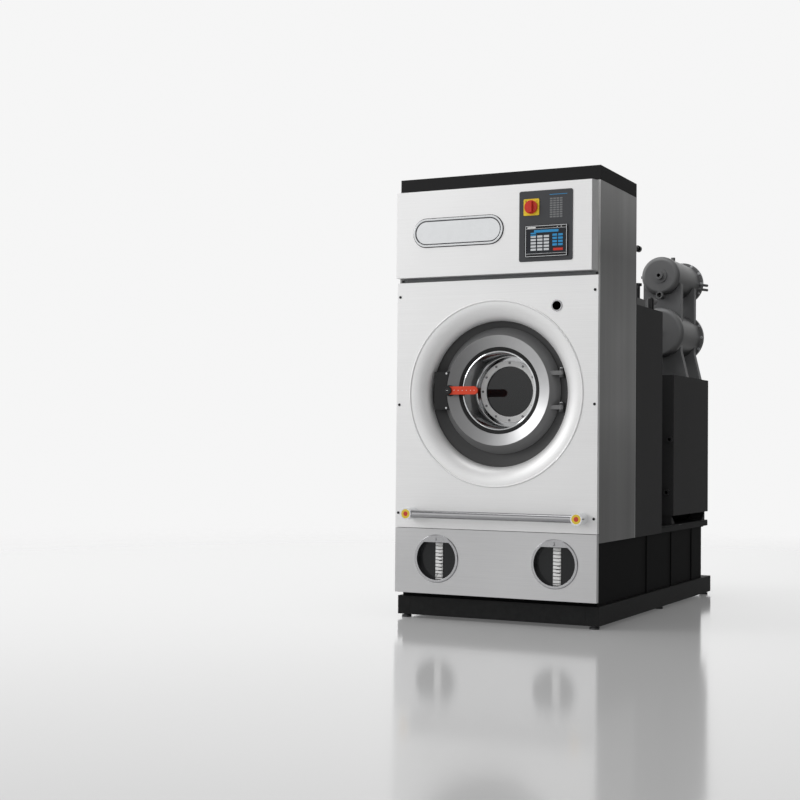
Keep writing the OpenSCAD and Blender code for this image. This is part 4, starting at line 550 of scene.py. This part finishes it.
# The display: a silver line round the glass, a header and rows of blank keys
screen_x, screen_z = 0.2465, 1.6560
frame_face, glass_back, glass_face = -0.909, -0.9075, -0.9077
silver = metal("silver line", (0.72, 0.73, 0.75), 0.25, 0.05)
outline_x, outline_z, line_w = 0.0932, 0.0655, 0.0016
outline = [rounded(screen_x, screen_z + side * outline_z, 0.188, line_w, 0.0007) for side in (1, -1)]
outline += [rounded(screen_x + side * outline_x, screen_z, line_w, 0.1295, 0.0007) for side in (-1, 1)]
applied("screen_outline", outline, frame_face - 0.0004, frame_face, silver, "machine")
applied("screen_tab", [rounded(screen_x - 0.0665, screen_z + 0.0590, 0.038, 0.0065, 0.001)],
        frame_face - 0.0004, frame_face, film_white, "machine")
display_glass = moulded("display", (0.006, 0.009, 0.014), 0.10, 300, 0.00001)
applied("display", [rounded(screen_x, screen_z, 0.1795, 0.1055, 0.001)], glass_face, glass_back,
        display_glass, "machine")
applied("display_header", [rounded(screen_x + 0.0005, screen_z + 0.0425, 0.112, 0.0110, 0.001)],
        glass_face - film, glass_back - 0.0001, film_blue, "machine")
for line_name, side in (("screen_line17100", 1), ("screen_line16020", -1)):
    applied(line_name, [rounded(screen_x, screen_z + side * 0.0540, 0.186, 0.0010, 0.0004)],
            frame_face - film, frame_face, silver, "machine")
keypad, given, made = growing("keypad", [("Columns", "Int"), ("Rows", "Int"), ("Wide", "Float"),
                                         ("High", "Float"), ("Place", "Vector")])
columns = maths(keypad, "SUBTRACT", given["Columns"], 1.0)
rows_less = maths(keypad, "SUBTRACT", given["Rows"], 1.0)
field_w = maths(keypad, "MULTIPLY", columns, given["Wide"])
field_h = maths(keypad, "MULTIPLY", rows_less, given["High"])
field = add(keypad, "GeometryNodeMeshGrid", {"Size X": field_w,
                                             "Size Y": field_h,
                                             "Vertices X": given["Columns"], "Vertices Y": given["Rows"]})
key_w = maths(keypad, "MULTIPLY", given["Wide"], 0.80)
key_h = maths(keypad, "MULTIPLY", given["High"], 0.66)
key_size = add(keypad, "ShaderNodeCombineXYZ", {"X": key_w, "Y": key_h,
                                                "Z": 0.0004})
key = add(keypad, "GeometryNodeMeshCube", {"Size": key_size.outputs["Vector"]})
keys = add(keypad, "GeometryNodeInstanceOnPoints", {"Points": field.outputs["Mesh"],
                                                    "Instance": key.outputs["Mesh"]})
harvested(keypad, given, made, keys.outputs["Instances"], (math.pi / 2, 0, 0))
key_white = moulded("white keys", (0.66, 0.68, 0.70), 0.3)
for block, key_columns, key_rows, key_wide, key_high, block_x, block_z, key_finish in (
        ("keys_white", 3, 5, 0.0300, 0.0140, -0.0285, -0.0080, key_white),
        ("keys_blue_left", 1, 2, 0.0310, 0.0090, -0.0585, 0.0300, film_blue),
        ("keys_blue_right", 2, 4, 0.0260, 0.0140, 0.0525, 0.0030, film_blue)):
    grown(block, keypad, {"Columns": key_columns, "Rows": key_rows, "Wide": key_wide, "High": key_high,
                          "Place": (screen_x + block_x, glass_face - 0.0001, screen_z + block_z)},
          key_finish, "machine")
legend_film = moulded("legend film", (0.20, 0.205, 0.21), 0.4)
grown("legend_rows", keypad, {"Columns": 4, "Rows": 9, "Wide": 0.0150, "High": 0.0098,
                              "Place": (legend_x, plate_face - 0.0002, legend_middle)},
      legend_film, "machine")
applied("stop_key", [rounded(screen_x + 0.0545, screen_z - 0.0380, 0.044, 0.0105, 0.001)],
        glass_face - film, glass_back - 0.0001, red_plastic, "machine")
for spot in (298, 316):
    turned("screen_mark" + str(spot), [(0, -0.9094), (0.002, -0.9094), (0.002, frame_face)], spot / 1000,
           screen_z + 0.0590, film_white, "machine", 16)

# ---- Main panel with its dish, screws and port ----
# The main panel is one brushed stainless sheet with a deep dish pressed round the door and a bead
# round the dish. Black screws hold it, and a chromed ring trims the round port.
eased("main_panel", sheet_edge, panel_steel)
screw_black = metal("blackened screws", (0.03, 0.03, 0.032), 0.35)
eased("panel_screws", fine_edge, screw_black)
port_chrome = metal("port chrome", (0.42, 0.42, 0.43), 0.15, 0.05)
eased("port_ring", turned_edge, port_chrome)

# ---- Lower panel and tank gauges ----
# The lower panel is brushed stainless. Each gauge is a chromed bezel round a dark window, with a
# white ladder scale with dark rungs behind it. A figure on each bezel numbers its tank.
lower_steel = brushed("brushed lower sheet", (0.54, 0.54, 0.545), 0.36, LEVEL)
gauge_black = moulded("gauge window", (0.010, 0.011, 0.012), 0.12, 300, 0.00002)
scale_white = moulded("scale white", (0.92, 0.92, 0.91), 0.45)
rung_pitch, rung_part = 0.0155, 0.22
rung_tree, rung_shader, place, plain_white = so_far(scale_white)
rung_place = add(rung_tree, "ShaderNodeSeparateXYZ", {"Vector": place["Object"]})
rung_count = maths(rung_tree, "DIVIDE", rung_place.outputs["Z"], rung_pitch)
rung_wave = maths(rung_tree, "FRACT", rung_count)
rung = maths(rung_tree, "LESS_THAN", rung_wave, rung_part)
rungs = mixed(rung_tree, rung, plain_white, (0.10, 0.10, 0.10, 1))
fed(rung_tree, rung_shader, {"Base Color": rungs})
eased("lower_panel", sheet_edge, lower_steel)
eased("gauge_bezels", 0.0011, port_chrome)
dressed("gauge_windows", gauge_black)
eased("gauge_scales", 0.0006, scale_white)
bezel_face, tank_figure_z = -0.8891, 0.3565
for figure, figure_x in (("1", -0.270), ("2", 0.286)):
    numeral("tank_figure_" + figure, figure, figure_x, bezel_face, tank_figure_z, 0.022, black_plastic,
            "machine")

# ---- Grab rail ----
# A polished steel tube in two chromed posts, which are bolted to the main panel. Each post ends in
# a round printed cap.
post_chrome = metal("post chrome", (0.78, 0.79, 0.80), 0.10, 0.05)

# Printed caps on the posts' ends: a yellow ring round a red middle
posts_middle, post_apart, post_z, cap_plane = 0.013, 0.398, 0.470, -0.9648
cap_r, cap_middle_r = 0.0205, 0.0105
cap_tree, cap_shader, place, chrome_tint = so_far(post_chrome)
cap_place = add(cap_tree, "ShaderNodeSeparateXYZ", {"Vector": place["Object"]})
aside = maths(cap_tree, "ADD", cap_place.outputs["X"], -posts_middle)
aside = maths(cap_tree, "ABSOLUTE", aside)
aside = maths(cap_tree, "ADD", aside, -post_apart)
above = maths(cap_tree, "ADD", cap_place.outputs["Z"], -post_z)
from_axis = add(cap_tree, "ShaderNodeCombineXYZ", {"X": aside,
                                                   "Y": above})
cap_radius = add(cap_tree, "ShaderNodeVectorMath", {0: from_axis.outputs["Vector"]}, operation="LENGTH")
on_front = maths(cap_tree, "LESS_THAN", cap_place.outputs["Y"], cap_plane)
covered = maths(cap_tree, "LESS_THAN", cap_radius.outputs["Value"], cap_r)
printed = maths(cap_tree, "MULTIPLY", on_front, covered)
red_middle = maths(cap_tree, "LESS_THAN", cap_radius.outputs["Value"], cap_middle_r)
cap_colour = mixed(cap_tree, red_middle, (0.80, 0.58, 0.04, 1), (0.62, 0.05, 0.03, 1))
print_over = mixed(cap_tree, printed, chrome_tint, cap_colour)
bare = maths(cap_tree, "SUBTRACT", 1.0, printed)
fed(cap_tree, cap_shader, {"Base Color": print_over, "Metallic": bare})
eased("rail_posts", 0.0025, post_chrome, turns=3)
eased("grab_rail", 0.001, port_chrome)

# ---- Tub, drum and their drive ----
# The stainless tub hangs in the cabinet and its funnel closes the dish behind the door. The drum
# turns on a steel shaft in a cast housing, driven by a flat belt.
tub_steel = metal("tub stainless", (0.42, 0.42, 0.43), 0.34, 0.1, 25)
funnel_coat = coated("funnel coat", (0.080, 0.080, 0.081), 0.5, 500, grime=0.03, gloss=0.2)
drum_steel = metal("drum stainless", (0.55, 0.55, 0.56), 0.24, 0.08, 30)
shaft_steel = metal("turned steel", (0.50, 0.50, 0.50), 0.28, 0.1, 120)
cast_iron = coated("cast iron paint", (0.07, 0.075, 0.08), 0.55, 260, 0.0004, 0.2)
motor_blue = coated("motor paint", (0.035, 0.075, 0.13), 0.42, 300, 0.0003, 0.2)
belt_rubber = moulded("belt rubber", (0.014, 0.014, 0.014), 0.7)
dressed("tub_shell", tub_steel)
eased("tub_front", plate_edge, funnel_coat, crease=20)
for inner in ("drum_shell", "drum_end_plates", "drum_lifters"):
    dressed(inner, drum_steel)
for lathe_work in ("drum_shaft", "drum_bearings"):
    dressed(lathe_work, shaft_steel)
for cast in ("bearing_housing", "drum_pulley", "motor_pulley"):
    dressed(cast, cast_iron)
dressed("drive_belt", belt_rubber)
eased("drive_motor", 0.003, motor_blue)

# ---- Door ----
# A cast and machined ring carries a polished stainless bowl. In its floor a thick glass is clamped
# between white enamelled flanges by twelve bolts, and a rubber seal runs round the back of the rim.
cast_silver = metal("machined casting", (0.50, 0.50, 0.505), 0.34, 0.05, 18)

# The flank outside the machined face is painted, and the turned face carries a painted shade, darker to the
# left and lighter to the right
door_z, flank_r, dark_x, bright_x = 1.018, 0.2435, -0.23, 0.12
cast_tree, cast_shader, place, turned_tint = so_far(cast_silver)
cast_place = add(cast_tree, "ShaderNodeVectorMath", {0: place["Object"], 1: (0, 0, -door_z)})
cast_flat = add(cast_tree, "ShaderNodeVectorMath", {0: cast_place.outputs["Vector"], 1: (1, 0, 1)},
                operation="MULTIPLY")
cast_radius = add(cast_tree, "ShaderNodeVectorMath", {0: cast_flat.outputs["Vector"]}, operation="LENGTH")
flank_paint = stretched(cast_tree, cast_radius.outputs["Value"], flank_r - 0.001, flank_r + 0.001)
cast_apart = add(cast_tree, "ShaderNodeSeparateXYZ", {"Vector": cast_place.outputs["Vector"]})
# Painted shade across the turned face, dark on the left and bright on the right
painted_shade_sweep = stretched(cast_tree, cast_apart.outputs["X"], dark_x, bright_x, 0.42, 1.0, smooth=True)
machined = mixed(cast_tree, 1.0, turned_tint, painted_shade_sweep, "MULTIPLY")
cast_colour = mixed(cast_tree, flank_paint, machined, (0.17, 0.17, 0.172, 1))
cast_metal = maths(cast_tree, "SUBTRACT", 1.0, flank_paint)
fed(cast_tree, cast_shader, {"Base Color": cast_colour, "Metallic": cast_metal})
chrome = metal("polished chrome", (0.78, 0.79, 0.80), 0.08, 0.05)
bowl_steel = metal("polished bowl", (0.42, 0.425, 0.43), 0.08, 0.04, 10)
enamel = coated("white enamel", (1.0, 1.0, 0.99), 0.30, 500, 0.00005, 0.0, gloss=0.2)
bolt_steel = metal("dark bolts", (0.20, 0.20, 0.21), 0.35)
seal_rubber = moulded("black rubber", (0.012, 0.012, 0.012), 0.65)
door_pane, pane_tree, pane, _ = finish_base("door glass", 0.03)
fed(pane_tree, pane, {"Base Color": (0.02, 0.022, 0.024, 1), "Transmission Weight": 0.6})
eased("door_pan", plate_edge, cast_silver, crease=20)
eased("door_bowl", turned_edge, bowl_steel)
eased("window_flange", turned_edge, enamel)
eased("window_bolts", fine_edge, bolt_steel)
dressed("door_glass", door_pane)
eased("door_seal", 0.0014, seal_rubber, turns=3)
turned("bowl_gasket", [(0.1750, -0.8240), (0.1755, -0.8265), (0.1790, -0.8290), (0.1860, -0.8305),
                       (0.1910, -0.8300), (0.1916, -0.8262), (0.1830, -0.8235), (0.1750, -0.8240)], 0, door_z,
       seal_rubber, "door", 120)
turned("bowl_lip", [(0.1690, -0.8225), (0.1682, -0.8248), (0.1690, -0.8271), (0.1718, -0.8285),
                    (0.1746, -0.8275), (0.1754, -0.8248), (0.1745, -0.8225), (0.1690, -0.8225)], 0, door_z,
       chrome, "door", 120)

# ---- Hinges and latch ----
# Two forged hinges on the right; on the left a black housing with the red latch lever, which turns
# under a black knob.
zinc = metal("zinc plate", (0.62, 0.63, 0.64), 0.34, 0.12, 90)
lever_red = moulded("lever enamel", (0.72, 0.060, 0.020), 0.34)
eased("hinge_brackets", turned_edge, funnel_coat)
eased("hinge_pins", fine_edge, chrome)
eased("latch_housing", 0.002, black_plastic)
eased("latch_lever", 0.0025, lever_red, turns=3)
eased("latch_spindle", plate_edge, black_plastic)
screw_x, housing_face = -0.244, -0.852
knob_x, knob_face, lever_face = -0.228, -0.878, -0.870
for screw_height in (941, 1095):
    turned("latch_screw" + str(screw_height), [(0, housing_face - 0.0016), (0.0035, housing_face - 0.0014),
                                               (0.005, housing_face - 0.0002), (0.005, housing_face)],
           screw_x, screw_height / 1000, zinc, "door", 24)
turned("knob_ring", [(0.0095, knob_face), (0.0095, knob_face - film), (0.0104, knob_face - film),
                     (0.0104, knob_face)], knob_x, door_z, funnel_coat, "latch")
applied("knob_slot", [rounded(knob_x, door_z, 0.010, 0.0016, 0.0007)], knob_face - film, knob_face, zinc,
        "latch")
for i, dot_x in enumerate((-0.198, -0.178, -0.158, -0.138, -0.118, -0.101)):
    turned("lever_dot" + str(i), [(0, lever_face - 0.0004), (0.0013, lever_face - film),
                                  (0.0018, lever_face)], dot_x, door_z, film_white, "latch", 16)

# ---- Air circuit ----
# A fan over the tub draws the air through a duct with a heating and cooling coil. Housing and duct
# are galvanised sheet, the impeller is painted steel and the coil is copper.
galvanised = metal("galvanised sheet", (0.52, 0.53, 0.54), 0.42, 0.14, 22)
coil_metal = metal("coil copper", (0.62, 0.36, 0.20), 0.35, 0.1, 60)
for sheet in ("fan_housing", "air_duct"):
    dressed(sheet, galvanised)
dressed("fan_impeller", cast_iron)
dressed("fan_motor", motor_blue)
dressed("air_coil", coil_metal)

# ---- Solvent circuit ----
# The stainless button trap hangs under the tub and the painted pump stands on the deck behind it.
# A painted block with two handwheels sits on the rear cover.
dressed("button_trap", tub_steel)
dressed("solvent_pump", motor_blue)
valve_coat = coated("valve block paint", (0.018, 0.018, 0.019), 0.36, 300)
eased("valve_manifold", turned_edge, valve_coat)

# ---- Rear cover and control cabinet ----
# Folded sheet steel with a charcoal powder coat. The control cabinet stands on gusseted feet and
# has two cable glands in its front and a hinged door at the back.
box_coat = coated("cabinet coat", (0.038, 0.038, 0.039), 0.6, 700, grime=0.08, gloss=0.15)
for folded in ("rear_cover", "control_cabinet", "cabinet_door"):
    eased(folded, sheet_edge, box_coat)

# ---- Still and condenser ----
# Two welded vessels with dished fronts and bolted rear flanges, sprayed grey, in folded and painted
# stand plates.
vessel_coat = coated("vessel paint", (0.24, 0.242, 0.245), 0.36, 350, 0.0002, 0.0, gloss=0.5)

# Painted shade: what faces down is coloured darker
painted_shade_tree, painted_shade_shader, place, vessel_grey = so_far(vessel_coat)
painted_shade_facing = add(painted_shade_tree, "ShaderNodeSeparateXYZ", {"Vector": place["Normal"]})
painted_underside_shade = stretched(painted_shade_tree, painted_shade_facing.outputs["Z"], -0.7, 0.5, 0.10, 1.0)
painted_shade_grey = mixed(painted_shade_tree, 1.0, vessel_grey, painted_underside_shade, "MULTIPLY")
fed(painted_shade_tree, painted_shade_shader, {"Base Color": painted_shade_grey})
stand_coat = coated("stand paint", (0.15, 0.152, 0.155), 0.40, 500)
eased("vessel_stand", plate_edge, stand_coat)
for shell in ("still_shell", "condenser_shell"):
    eased(shell, plate_edge, vessel_coat, crease=32)

# Nuts round the bolted rear flanges, six-sided with a chamfer and a washer
bolt_ring, given, made = growing("flange nuts", [("Count", "Int"), ("Circle", "Float"), ("Nut", "Float"),
                                                 ("Place", "Vector")])
spots = add(bolt_ring, "GeometryNodeMeshCircle", {"Vertices": given["Count"], "Radius": given["Circle"]})
washer_r = maths(bolt_ring, "MULTIPLY", given["Nut"], 1.25)
washer = add(bolt_ring, "GeometryNodeMeshCylinder", {"Vertices": 24, "Radius": washer_r,
                                                     "Depth": 0.0016})
nut_low = add(bolt_ring, "GeometryNodeMeshCone", {"Vertices": 6, "Radius Top": given["Nut"],
                                                  "Radius Bottom": given["Nut"], "Depth": 0.004})
chamfer_r = maths(bolt_ring, "MULTIPLY", given["Nut"], 0.84)
nut_top = add(bolt_ring, "GeometryNodeMeshCone", {"Vertices": 6, "Radius Top": chamfer_r,
                                                  "Radius Bottom": given["Nut"], "Depth": 0.0014})
nut_top_up = add(bolt_ring, "GeometryNodeTransform", {"Geometry": nut_top.outputs["Mesh"],
                                                      "Translation": (0, 0, 0.004)})
nut = add(bolt_ring, "GeometryNodeJoinGeometry")
for part in (washer.outputs["Mesh"], nut_low.outputs["Mesh"], nut_top_up.outputs["Geometry"]):
    bolt_ring.links.new(part, nut.inputs["Geometry"])
nuts = add(bolt_ring, "GeometryNodeInstanceOnPoints", {"Points": spots.outputs["Mesh"],
                                                       "Instance": nut.outputs["Geometry"]})
harvested(bolt_ring, given, made, nuts.outputs["Instances"], (math.pi / 2, 0, 0))
vessel_x = 0.345
for vessel, nut_z, nut_circle, face in (("still", 1.357, 0.122, 0.799), ("condenser", 1.648, 0.104, 0.853)):
    grown(vessel + "_nuts", bolt_ring, {"Count": 12, "Circle": nut_circle, "Nut": 0.0062,
                                        "Place": (vessel_x, face, nut_z)}, zinc, "machine")

# ---- Studio ----
# A white glossy floor that runs into a white background, soft lights above, on the left and on the
# right, and surroundings that darken to the machine's right so that its side stays dark.
floor_mesh = bpy.data.meshes.new("floor")
reach = 60
floor_mesh.from_pydata([(-reach, -reach, 0), (reach, -reach, 0), (reach, reach, 0), (-reach, reach, 0)], [],
                       [(0, 1, 2, 3)])
floor = bpy.data.objects.new("floor", floor_mesh)
bpy.context.scene.collection.objects.link(floor)
floor_finish, floor_tree, floor_shader, place = finish_base("pale floor", 0.11)

# It fades into the background well outside the machine
away = add(floor_tree, "ShaderNodeVectorMath", {0: place["Object"]}, operation="LENGTH")
fade_starts, fade_ends = 4.2, 7.0
faded = stretched(floor_tree, away.outputs["Value"], fade_starts, fade_ends, 1.0, 0.0, smooth=True)
fed(floor_tree, floor_shader, {"Base Color": (0.66, 0.66, 0.66, 1), "Emission Color": (1, 1, 1, 1),
                               "Emission Strength": 0.10, "Alpha": faded})
floor_mesh.materials.append(floor_finish)


def soft_light(name, at, towards, width, height, power):
    """A rectangular soft light that faces a point."""
    lamp = bpy.data.lights.new(name, "AREA")
    lamp.shape = "RECTANGLE"
    lamp.size, lamp.size_y, lamp.energy = width, height, power
    holder = bpy.data.objects.new(name, lamp)
    holder.location = at
    holder.rotation_euler = (Vector(towards) - Vector(at)).to_track_quat("-Z", "Y").to_euler()
    bpy.context.scene.collection.objects.link(holder)


soft_light("front left light", (-6.0, -5.0, 4.2), (0, 0, 1.0), 3.0, 3.0, 120)
soft_light("front right light", (4.8, -3.6, 2.6), (0, 0, 1.3), 1.6, 2.6, 18)
soft_light("top light", (-0.6, -1.4, 5.6), (0, 0, 0.8), 3.0, 3.0, 60)
world = bpy.data.worlds.new("studio")
bpy.context.scene.world = world
world.use_nodes = True
air = world.node_tree
way = add(air, "ShaderNodeTexCoord").outputs["Generated"]
bearing = add(air, "ShaderNodeVectorMath", {0: way, 1: (0.95, 0.10, -0.25)}, operation="DOT_PRODUCT")
tone = stretched(air, bearing.outputs["Value"], -0.22, 0.70, 1.07, 0.08, smooth=True)
overhead = add(air, "ShaderNodeSeparateXYZ", {"Vector": way})
dimmer = graded(air, overhead.outputs["Z"], ((0.0, 0.71), (0.03, 0.82), (0.07, 1.0), (0.34, 1.0),
                                             (0.70, 0.30)))
tone = maths(air, "MULTIPLY", tone, dimmer)
seen = add(air, "ShaderNodeLightPath")
brightness = add(air, "ShaderNodeMix", {"Factor": seen.outputs["Is Camera Ray"], "A": tone,
                                        "B": 0.92})
fed(air, air.nodes["Background"], {"Strength": brightness.outputs["Result"], "Color": (1, 1, 1, 1)})
bpy.context.scene.view_settings.view_transform = "Standard"
